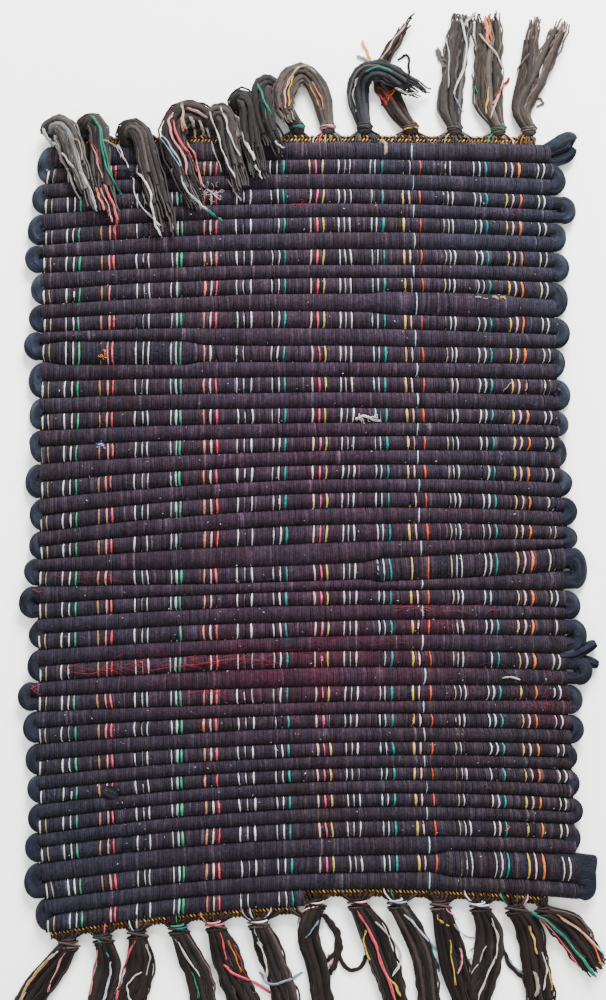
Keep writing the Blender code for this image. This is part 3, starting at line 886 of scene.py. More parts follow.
# Guides of one shed: 0 shows on the dark ribs and 1 on the coloured ones
def endLines(shed):
    chance = random.Random(40 + shed)
    bowMost, bowVaries, bowUsual = crosswise["bow"]
    bowPull, bowStart, bowEnd = crosswise["rightBow"]
    count = int((warp["lastX"] - warp["firstX"]) / warp["pitch"]) + 1
    ends = [[warp["firstX"] + warp["pitch"] * (i + 0.5 * shed), None, 1.0] for i in range(count)]
    for x, colour, size in (stripes if shed else plainStripes):
        nearest = min(ends, key=lambda end: abs(end[0] - x))
        nearest[:] = [x, colour, size]
    lines = []
    for number, (x, colour, size) in enumerate(ends):
        kind = "coloured" if colour else "dark"
        strength = "dark" if not colour else "pale" if colour in paleYarns else "bright"
        size *= chance.uniform(*warp["thickness"][strength])
        grooves = [grooveY(g, x + pullAcross(x, grooveY(g, x))) for g in range(lastGroove(x) + 1)]
        points, widths, tints = [], [], []
        for pick in range(1, len(grooves)):
            over = pick % 2 == 1 - shed
            upper, lower = grooves[pick - 1], grooves[pick]
            shares = warp["overShares"] if over else warp["underShares"]
            bow = bowMost * (bowVaries * drift(x / 30, pick * 5.3, 1.0) + bowUsual)
            bow += bowPull * smooth(x, bowStart, bowEnd)
            own = crosswise["jitter"] * drift(number * 0.9, pick * 1.7, 3.0)
            tilt = crosswise["tilt"] * drift(number * 2.1, pick * 1.3, 13.0)
            before = crosswise["lean"] * drift(x / 25, (pick - 1) * 2.7, 7.0)
            after = crosswise["lean"] * drift(x / 25, pick * 2.7, 7.0)
            rise = warp["rise"] + slubValue(pick, x, "higher")
            rise += crosswise["uneven"] * drift(number * 1.3, pick * 2.9, 11.0)
            if colour:
                tint = dimmed(linear(stripeColours[colour]), chance.uniform(*warp["light"]))
                fullness = chance.uniform(*warp["fullness"][kind])
                if over:
                    hidden = chance.random() < warp["hiddenShare"]
                    rise += -warp["hidden"] if hidden else warp["proud"]
            else:
                tint = darkTint(chance, x, upper)
                fullness = chance.uniform(*warp["fullness"][kind])
                bare = slubValue(pick, x, "bare")
                if shed:
                    patch = smooth(drift(x / 17, pick * 4.1, 9.0), *warp["bareFrom"])
                    bare = max(bare, patch)
                if over and chance.random() < bare:
                    rise -= warp["sunk"]
            for share in shares:
                y = mix(upper, lower, share)
                sideways = mix(before, after, share) + bow * 4 * share * (1 - share) + own
                lean = warp["lean"] * (warp["leanFrom"] - y) + tilt * (share - 0.5)
                sideways += lean + pullAcross(x, y)
                sideways += crosswise["wander"] * drift(x / 90, y / 130, 5.0)
                z = weave["midHeight"] + (rise if over else -warp["drop"]) * arch(share)
                points.append((x + sideways, y, z))
                wide = mix(warp["neck"][kind], fullness, arch(share)) if over else 1.0
                widths.append(size * wide)
                tints.append(tint)
        end = points[-1]
        points.append((end[0], grooves[-1], weave["midHeight"]))
        widths.append(size)
        tints.append(tints[-1])
        lines.append({"points": points, "sizes": widths, "colours": tints})
    return lines


def buildWarp(tree, material):
    pieces = []
    for shed, name in ((0, "darkShed"), (1, "stripedShed")):
        lines = endLines(shed)
        half = len(lines) // 2
        for part, label in ((lines[:half], "Left"), (lines[half:], "Right")):
            pieces.append(growYarns(name + label, part, tree, material, warp["radius"], fineSides,
                                    warp["flatness"], lift=0.0))
    return pieces


# Headings: two rows at each end, each of two strands that twist round the warp ends
heading = {
    "gap": 0.3,
    "width": 6.0,
    "middle": 3.4,
    "coreHalf": 2.2,
    "rowApart": 2.8,
    "across": 1.25,             # how far a strand swings to each side of its row
    "upright": 2.65,            # and above and below it
    "turn": 5.4,                # along the heading for one full twist
    "pointsEach": 9,
    "strand": 0.5,
    "spans": {1: ((-186, 175),), -1: ((-178, -5), (-1, 172))},
    "gold": ("#b98636", "#c99a4d", "#a5752a", "#d3a860", "#8a5f22"),
    "dark": ("#2a1c12", "#4a3119", "#5c3d1d"),
    "light": {1: 1.5, -1: 1.0},
    "uneven": (0.5, 0.3),       # how much the twist and the height vary
    "coreStep": 3.0,
    "coreSides": 8,
}


def headingLines(end):
    chance = random.Random(7 + end)
    lines = []
    middle = heading["gap"] + heading["width"] / 2
    core = linear(heading["dark"][0])
    unevenTwist, unevenHeight = heading["uneven"]
    for start, stop in heading["spans"][end]:
        count = round((stop - start) / heading["coreStep"])
        spine = [mix(start, stop, i / count) for i in range(count + 1)]
        lines.append({
            "points": [(x, edgeY(end, x) + end * middle, heading["middle"]) for x in spine],
            "sizes": heading["coreHalf"] / heading["strand"], "colours": core, "thick": True})
        count = round((stop - start) / heading["turn"] * heading["pointsEach"])
        for row in (-1, 1):
            for strand in (0, 1):
                dark = row > 0 and (strand or end < 0)
                tones = heading["dark"] if dark else heading["gold"]
                points, tints = [], []
                tint = linear(chance.choice(tones))
                for i in range(count + 1):
                    x = mix(start, stop, i / count)
                    angle = 2 * math.pi * ((x - start) / heading["turn"] + 0.5 * strand)
                    angle += unevenTwist * drift(x / 9, row, strand)
                    if i % heading["pointsEach"] == 0:
                        tint = linear(chance.choice(tones))
                    across = middle + 0.5 * row * heading["rowApart"]
                    across += row * heading["across"] * math.cos(angle)
                    height = heading["middle"] + heading["upright"] * math.sin(angle)
                    height += unevenHeight * drift(x / 5, row, strand + 3)
                    points.append((x, edgeY(end, x) + end * across, height))
                    tints.append(dimmed(tint, heading["light"][end]))
                lines.append({"points": points, "sizes": 1.0, "colours": tints})
    return lines


def buildHeading(name, end, tree, material, node):
    piece = growYarns(
        name, headingLines(end), tree, material, heading["strand"], heading["coreSides"])
    return keepPiece(piece, "heading_yarn", node)


# Tassels: where each knot sits, how wide it spreads and the route of its lower face from the knot
# to the tips. These lie on the mat or bend, so they go by pixels of the photo and heights
laidRows = (
    ("top_01", -179, 15, ((58, 131, 2), (51, 134, 4), (53, 127, 8), (60, 125, 11), (68, 133, 12),
        (74, 152, 11), (83, 178, 10.2), (93, 206, 10))),
    ("top_02", -156, 13, ((90, 132, 2), (85, 132, 4), (87, 124, 8), (93, 121, 11), (98, 130, 12),
        (99, 150, 11), (103, 180, 10.2), (110, 213, 10))),
    ("top_03", -124, 13, ((131, 136, 2), (126, 138, 4), (128, 130, 8), (134, 128, 11),
        (141, 136, 12), (146, 158, 11), (154, 188, 10.2), (165, 228, 10))),
    ("top_04", -92, 16, ((196, 128, 2), (206, 122, 4), (202, 117, 7), (191, 112, 10),
        (180, 113, 12), (171, 130, 12), (176, 154, 10.6), (188, 181, 10.2), (202, 210, 10))),
    ("top_05", -64, 13, ((212, 126, 2), (209, 127, 5), (214, 119, 9), (220, 114, 11.5),
        (226, 122, 12), (227, 138, 11), (233, 162, 10.2), (240, 190, 10))),
    ("top_06", -35, 12, ((249, 113, 2), (240, 107, 4), (238, 101, 8), (243, 98, 11),
        (249, 107, 12), (250, 126, 11.5), (255, 154, 10.2), (262, 182, 10))),
    ("top_07", -5, 10, ((288, 112, 1), (277, 94, 2), (269, 84, 6), (262, 87, 10.5),
        (261, 102, 12), (266, 124, 11.5), (273, 140, 10.4), (281, 153, 10))),
    ("top_08", 18, 14, ((325, 114, 0.5), (322, 98, 0.7), (313, 80, 1.5), (301, 72, 3),
        (289, 80, 6), (284, 96, 8), (285, 110, 8.6), (291, 121, 8.8))),
    ("top_09", 46, 14, ((361, 112, 0.2), (358, 88, 1.5), (366, 73, 7), (383, 71, 8.8),
        (402, 81, 8.2), (424, 96, 4))),
    ("top_10", 81, 13, ((400, 115, 0.2), (389, 95, 0.2), (380, 80, 0.2), (382, 62, 0.4),
        (395, 40, 1), (411, 17, 1))),
)
# These run out over the floor, by places, with a height where they leave it
straightRows = (
    ("top_11", 114, 16, ((111, 302), (114, 330), (118, 354), (122, 375))),
    ("top_12", 147, 19, ((141, 303), (140, 328), (142, 350), (140, 375))),
    ("top_13", 170, 15, ((164, 299), (170, 322), (173, 348), (176, 374))),
    ("bottom_01", -165, 16, ((-173, -327), (-187, -345), (-200, -363), (-211, -379))),
    ("bottom_02", -141, 14, ((-137, -328), (-141, -345), (-145, -363), (-148, -387))),
    ("bottom_03", -117, 17, ((-115, -326), (-118, -343), (-124, -361), (-123, -385))),
    ("bottom_04", -88, 15, ((-80, -322), (-73, -341), (-69, -360), (-65, -384))),
    ("bottom_05", -62, 17, ((-56, -320), (-48, -340), (-38, -358), (-29, -377))),
    ("bottom_06", -32, 15, ((-26, -315), (-19, -335), (-12, -354), (-7, -376))),
    ("bottom_07", 8, 13, ((3, -307), (8, -328), (12, -351), (14, -372))),
    ("bottom_08", 38, 18, ((48, -307), (57, -330), (63, -351), (66, -372))),
    ("bottom_09", 66, 13, ((76, -305), (84, -324), (87, -348), (89, -370))),
    ("bottom_10", 96, 17, ((101, -309), (107, -332), (113, -356), (116, -374))),
    ("bottom_11", 124, 17, ((130, -307), (128, -328), (122, -351), (122, -372))),
    ("bottom_12", 149, 16, ((158, -305), (162, -328), (166, -351), (168, -370))),
    ("bottom_13", 170, 19, ((184, -302), (195, -316), (206, -332))),
)
tassels = {name: {"knotX": x, "width": width, way: route}
           for way, rows in (("laid", laidRows), ("route", straightRows))
           for name, x, width, route in rows}
tassels["top_10"]["tipWide"] = 0.35
tassels["top_13"]["fork"] = ((165, 299), (178, 324, 1.0), (189, 349), (199, 371))
tasselTones = {
    "top_01": "#5a5553", "top_02": "#3a3534", "top_03": "#3a3535", "top_04": "#383232",
    "top_05": "#403a39", "top_06": "#32302f", "top_07": "#302d2d", "top_08": "#4c4542",
    "top_09": "#302f31", "top_10": "#3a2f2c", "top_11": "#403c3a", "top_12": "#443e39",
    "top_13": "#4a423e", "bottom": "#282120",
}
fringe = {
    "knotHalf": Vector((6.6, 5.3, 5.0)),
    "knotCore": (0.95, 8, 0.7),     # reach inside the wraps, steps and tone of the knot's own yarns, dimmed as painted shade
    "onFloor": 0.2,
    "yarns": 26,
    "coreYarns": 8,
    "coreSteps": 12,
    "coreSize": 2.7,
    # painted shade: the inner yarns of a tassel are dimmed
    "paintedCoreShade": 0.6,
    "coreShort": 0.12,
    "coreRadius": 0.58,
    "surfaceRadius": 0.88,
    "yarnSteps": 26,
    "halfHeight": 2.7,
    "bundleMiddle": 3.1,        # over the lower face that the route gives
    "rootHalf": 4.8,
    "looseNeck": 1.35,          # the bottom tassels are gathered more loosely
    "looseWraps": 6,
    "fuller": 1.36,             # how much wider the loose yarns spread than the frame's locks
    "radius": 0.95,
    "tip": 0.75,
    "wander": 2.0,
    "clumps": 6,
    "clumpWander": 2.8,
    "crimp": 0.7,
    "crimpEach": 13.0,          # millimetres for one wave
    "lengthVaries": 0.13,
    "longest": 1.05,
    "light": (0.6, 1.65),
    "paleShare": 0.15,
    "pale": 2.2,
    "spreadEnd": 0.8,           # width and height at the tips
    "forkWidth": 0.75,
    "wraps": 11,
    "wrapSteps": 14,
    "wrapReach": 0.8,           # from the knot's middle, as a share of its half length
    "slant": (0.08, 0.2),
    "crossSlant": -1.6,
    "puff": 0.92,               # girth of a wrap that no other crosses
    "leastGirth": 0.05,
    "firstAccent": 4,           # of the wraps, the first one that can be coloured
    "wrapSize": 0.8,
    "gathered": 170,            # ends at each end of the mat that run into the knots
    "plainShare": 0.6,          # coloured ends that don't show there
    "overShare": 0.3,           # dark ends that cross above the heading
    "sides": 4,
    "threadSteps": 7,
    "threadSize": 0.37,
    "threadApart": 0.27,
    "threadTurn": 0.5,          # radians of twist at each step
    "threadOver": (0.4, 0.3),   # height over what it crosses, and how the strands lift it
    "threadWander": (0.7, 0.35),        # to the side: by drift and in a wave
    "threadEnds": (0.55, 3),    # thickness at both ends, and the steps until it is full
    "threadLight": (0.75, 0.12),
    "threadFrom": {3: 1.25, 2: 0.85},   # thickness from which a thread has so many strands
}


def routeCurve(points, steps):
    spots = []
    for step in range(steps + 1):
        place = step / steps * (len(points) - 1)
        i = min(int(place), len(points) - 2)
        t = place - i
        before, after = points[max(i - 1, 0)], points[min(i + 2, len(points) - 1)]
        a, b = points[i], points[i + 1]
        spots.append(0.5 * (2 * a + (b - before) * t + (2 * before - 5 * a + 4 * b - after) * t * t
                            + (3 * a - before - 3 * b + after) * t * t * t))
    return spots


def bundleFrames(spots):
    frames = []
    for i in range(len(spots)):
        ahead = (spots[min(i + 1, len(spots) - 1)] - spots[max(i - 1, 0)]).normalized()
        sideways = ahead.cross(Vector((0, 0, 1))).normalized()
        frames.append((sideways, sideways.cross(ahead)))
    return frames


def tasselEnd(name):
    return 1 if name.startswith("top") else -1


def knotCentre(name, tassel):
    end, x = tasselEnd(name), tassel["knotX"]
    away = 2 * heading["gap"] + heading["width"] + fringe["knotHalf"].y
    return Vector((x, edgeY(end, x) + end * away, fringe["knotHalf"].z))


def neckWide(name):
    return 1.0 if tasselEnd(name) > 0 else fringe["looseNeck"]


# The middle line of a tassel's yarns with its frames, from the knot to the tips
def bundle(name, tassel, fork=False):
    if "laid" in tassel:
        rise = fringe["bundleMiddle"]
        route = [fromPhoto((u, v), height + rise) - Vector((0, 0, rise))
                 for u, v, height in tassel["laid"]]
    else:
        route = [Vector(p if len(p) == 3 else (*p, fringe["onFloor"]))
                 for p in tassel["fork" if fork else "route"]]
    spots = routeCurve([knotCentre(name, tassel)] + route, fringe["yarnSteps"])
    frames = bundleFrames(spots)
    lifted = []
    for i, spot in enumerate(spots):
        share = i / fringe["yarnSteps"]
        lifted.append(spot + Vector((0, 0, fringe["bundleMiddle"] * smooth(share, 0.0, 0.18))))
    return lifted, frames


def lineAt(line, place):
    spots, frames = line
    i = min(int(place), len(spots) - 2)
    t = place - i
    sideways, upward = (a.lerp(b, t) for a, b in zip(frames[i], frames[i + 1]))
    return spots[i].lerp(spots[i + 1], t), sideways, upward


# Height of the yarns over a place, or of what they lie on
def bundleTop(tassel, x, y):
    best = matTop(x, y)
    half = tassel["width"] / 2 + 1.5
    for spot in tassel["line"][0]:
        away = math.hypot(spot.x - x, spot.y - y)
        if away < half:
            over = (fringe["halfHeight"] + 0.5) * math.sqrt(1 - (away / half) ** 2)
            best = max(best, spot.z + over)
    return best


def ownChance(name, times):
    return random.Random(sum(ord(letter) for letter in name) * times)


def yarnTint(chance, name):
    tone = linear(tasselTones.get(name, tasselTones["bottom"]))
    light = chance.uniform(*fringe["light"])
    if chance.random() < fringe["paleShare"]:
        light *= fringe["pale"]
    warm = chance.uniform(-0.08, 0.08)
    return [tone[0] * light * (1 + warm), tone[1] * light, tone[2] * light * (1 - warm)]


goldenAngle = 2.39996           # spreads the yarns evenly over a bundle's section


def tasselYarns(name, tassel):
    chance = ownChance(name, 7)
    lines = []
    forked = "fork" in tassel
    tassel["line"] = bundle(name, tassel)
    forkLine = bundle(name, tassel, True) if forked else None
    half = tassel["width"] / 2 * fringe["fuller"] * (fringe["forkWidth"] if forked else 1.0)
    clumps = [[chance.uniform(0, most) for most in (50, 2 * math.pi, fringe["lengthVaries"])]
              for _ in range(fringe["clumps"])]
    length = sum((b - a).length for a, b in zip(tassel["line"][0], tassel["line"][0][1:]))
    waves = 2 * math.pi * length / fringe["crimpEach"]
    for number in range(fringe["yarns"] + fringe["coreYarns"]):
        core = number >= fringe["yarns"]
        line = forkLine if forked and number % 2 else tassel["line"]
        if core:
            radius, steps = fringe["coreRadius"], fringe["coreSteps"]
            angle = 2 * math.pi * (number - fringe["yarns"]) / fringe["coreYarns"]
        else:
            radius = fringe["surfaceRadius"] * math.sqrt((number + 0.5) / fringe["yarns"])
            steps = fringe["yarnSteps"]
            angle = number * goldenAngle + chance.uniform(-0.3, 0.3)
        across, up = radius * math.cos(angle), radius * math.sin(angle)
        sector = (math.atan2(up, across) / math.pi + 1) / 2 * fringe["clumps"]
        clump, phase, shorter = clumps[int(sector) - 1]
        seed = chance.uniform(0, 50)
        phase += chance.uniform(-0.7, 0.7)
        cut = fringe["coreShort"] if core else chance.uniform(0, 0.05)
        reach = fringe["longest"] - shorter - cut
        tint = yarnTint(chance, name)
        if core:
            # painted shade on the inner yarns
            tint = dimmed(tint, fringe["paintedCoreShade"])
        points, sizes = [], []
        for i in range(steps + 1):
            share = i / steps * reach
            spot, sideways, upward = lineAt(line, share * fringe["yarnSteps"])
            spread = smooth(share, 0.0, 0.3)
            spread *= mix(1.0, fringe["spreadEnd"], smooth(share, 0.65, 1.0))
            spread *= 1.0 + 0.35 * drift(clump, share * 3.0, 6.0)
            halfWide = mix(fringe["rootHalf"] * neckWide(name), half, spread)
            halfWide *= mix(1.0, tassel.get("tipWide", 1.0), smooth(share, 0.4, 0.6))
            halfHigh = mix(fringe["rootHalf"], fringe["halfHeight"], spread)
            halfHigh *= mix(1.0, fringe["spreadEnd"], share)
            loose = smooth(share, 0.08, 0.5)
            stray = fringe["clumpWander"] * drift(clump, share * 2.5, 3.0)
            rise = 0.0
            if not core:
                stray += fringe["wander"] * drift(seed, share * 3.0, 0.0)
                stray += fringe["crimp"] * math.sin(phase + waves * share)
                rise = 0.4 * fringe["wander"] * drift(seed, share * 3.5, 9.0)
                rise += 0.5 * fringe["crimp"] * math.cos(phase + waves * share)
            size = fringe["coreSize"] if core else 1.0
            size *= mix(1.0, fringe["tip"], smooth(share / reach, 0.6, 1.0))
            point = spot + sideways * (across * halfWide + stray * loose)
            point += upward * (up * halfHigh + rise * loose)
            floorHere = matTop(point.x, point.y) + fringe["radius"] * size
            points.append(Vector((point.x, point.y, max(point.z, floorHere))))
            sizes.append(size)
        lines.append({"points": points, "sizes": sizes, "colours": tint, "thick": core})
    return lines


gather = {
    "inset": 1.5,
    "light": (0.5, 0.95),
    "over": {True: 0.9, False: -1.2},   # height over its crest: ends above the heading, others
    "sizes": {True: 0.6, False: 0.85},  # thickness of coloured ends and of the others
    "from": (0.8, 5.2),         # how deep in the mat an end starts, and its height there
    "past": ((0.06, 2.6), (0.3, 6.0), (0.62, 8.6)),     # share of the way aside, and how far out
    "low": (4.4, 0.4),          # the height that it sinks to, and how much of the way
    "neck": (4.2, 1.5),         # height just before the knot, and how that varies
    "inKnot": (-0.22, 1.5),     # where in the knot it ends, and how its height varies
}


# Warp ends that gather from the heading into a knot
def gatheredEnds(name, tassel):
    chance = ownChance(name, 5)
    end = tasselEnd(name)
    knot = knotCentre(name, tassel)
    others = [row["knotX"] for other, row in tassels.items() if tasselEnd(other) == end]
    spans = heading["spans"][end]
    first, last = spans[0][0] + gather["inset"], spans[-1][1] - gather["inset"]
    count = fringe["gathered"]
    places = [(mix(first, last, i / count), None) for i in range(count + 1)]
    places += [(x, colour) for x, colour, _ in stripes if first < x < last]
    (near, nearOut), (half, halfOut), (far, farOut) = gather["past"]
    neck, neckVaries = gather["neck"]
    cross, inKnot = gather["inKnot"]
    lines = []
    for x, colour in places:
        if min(others, key=lambda other: abs(other - x)) != tassel["knotX"]:
            continue
        light = chance.uniform(*gather["light"])
        if colour:
            tint = dimmed(linear(stripeColours[colour]), light)
            if chance.random() < fringe["plainShare"]:
                continue
        else:
            tint = yarnTint(chance, name)
        above = bool(colour) or chance.random() < fringe["overShare"]
        over = heading["middle"] + heading["upright"] + gather["over"][above]
        edge = edgeY(end, x)
        aside = knot.x - x
        lines.append({"sizes": gather["sizes"][bool(colour)], "colours": tint, "points": [
            Vector((x, edge - end * gather["from"][0], gather["from"][1])),
            Vector((x + near * aside, edge + end * nearOut, over)),
            Vector((x + half * aside, edge + end * halfOut, mix(over, *gather["low"]))),
            Vector((x + far * aside, edge + end * farOut,
                    neck + chance.uniform(-neckVaries, neckVaries))),
            knot + Vector((cross * neckWide(name) * aside, -end,
                           chance.uniform(-inKnot, inKnot)))]})
    return lines


# Yarns wound round the neck of a tassel, with a few crossing over them, and what they hold
def knotWraps(name, tassel):
    chance = ownChance(name, 3)
    centre, half = knotCentre(name, tassel), fringe["knotHalf"]
    inset = fringe["radius"] * fringe["wrapSize"]
    lines = []
    accent = accents.get(name, ())
    wraps = fringe["wraps"] if tasselEnd(name) > 0 else fringe["looseWraps"]
    for wrap in range(wraps):
        place = mix(-fringe["wrapReach"], fringe["wrapReach"], wrap / (wraps - 1))
        crossing = wrap % 4 == 3
        slant = chance.uniform(*fringe["slant"]) * (fringe["crossSlant"] if crossing else 1)
        puff = 1.0 if crossing else fringe["puff"]
        tint = yarnTint(chance, name)
        number = wrap - fringe["firstAccent"]
        if 0 <= number < len(accent):
            tint = linear(threadColours[accent[number]])
        points = []
        for i in range(fringe["wrapSteps"] + 1):
            angle = 2 * math.pi * i / fringe["wrapSteps"] - 0.5 * math.pi
            here = place + slant * math.cos(angle + 0.6)
            girth = puff * math.sqrt(max(1.0 - here * here, fringe["leastGirth"]))
            points.append(centre + Vector((
                (half.x * neckWide(name) - inset) * girth * math.cos(angle), half.y * here,
                (half.z - inset) * girth * math.sin(angle))))
        lines.append({
            "points": points, "sizes": fringe["wrapSize"], "colours": tint, "thick": True})
    # the knot's own yarns inside the wraps are dimmed: painted shade
    reach, steps, light = fringe["knotCore"]
    places = [mix(-reach, reach, i / steps) for i in range(steps + 1)]
    girth = half.z - inset
    lines.append({
        "points": [centre + Vector((0.0, half.y * place, 0.0)) for place in places],
        "sizes": [girth * math.sqrt(1.0 - place * place) / fringe["radius"] for place in places],
        "colours": dimmed(yarnTint(chance, name), light), "thick": True})
    return lines


threadColours = {
    "white": "#dedbd6",
    "greyWhite": "#b9b6b2",
    "paleGreen": "#a9b5aa",
    "blueWhite": "#b4c6d2",
    "blueGrey": "#7e8fa0",
    "teal": "#2b7c69",
    "deepTeal": "#1f5c5a",
    "coral": "#d8525f",
    "pink": "#e2909a",
    "dustyPink": "#b98285",
    "salmon": "#dc7f68",
    "rust": "#7a3a2c",
    "orange": "#d97a3a",
    "yellow": "#dcb64a",
    "gold": "#b08a3c",
    "tan": "#b39a80",
    "ash": "#605a57",
    "umber": "#2a2120",
    "beige": "#a3988a",
    "pinkWhite": "#e8c2bd",
    "black": "#1c1a1c",
    "red": "#b02f3a",
}
accents = {
    "top_07": ("deepTeal", "teal", "deepTeal"),
    "top_08": ("dustyPink", "pink", "dustyPink"),
    "top_10": ("yellow",),
    "top_12": ("teal", "deepTeal"),
    "bottom_04": ("deepTeal", "teal", "deepTeal"),
    "bottom_05": ("coral", "pink"),
    "bottom_06": ("white",),
    "bottom_07": ("pinkWhite",),
    "bottom_08": ("pink",),
    "bottom_09": ("blueGrey", "blueWhite"),
    "bottom_11": ("blueWhite", "white", "blueWhite"),
}
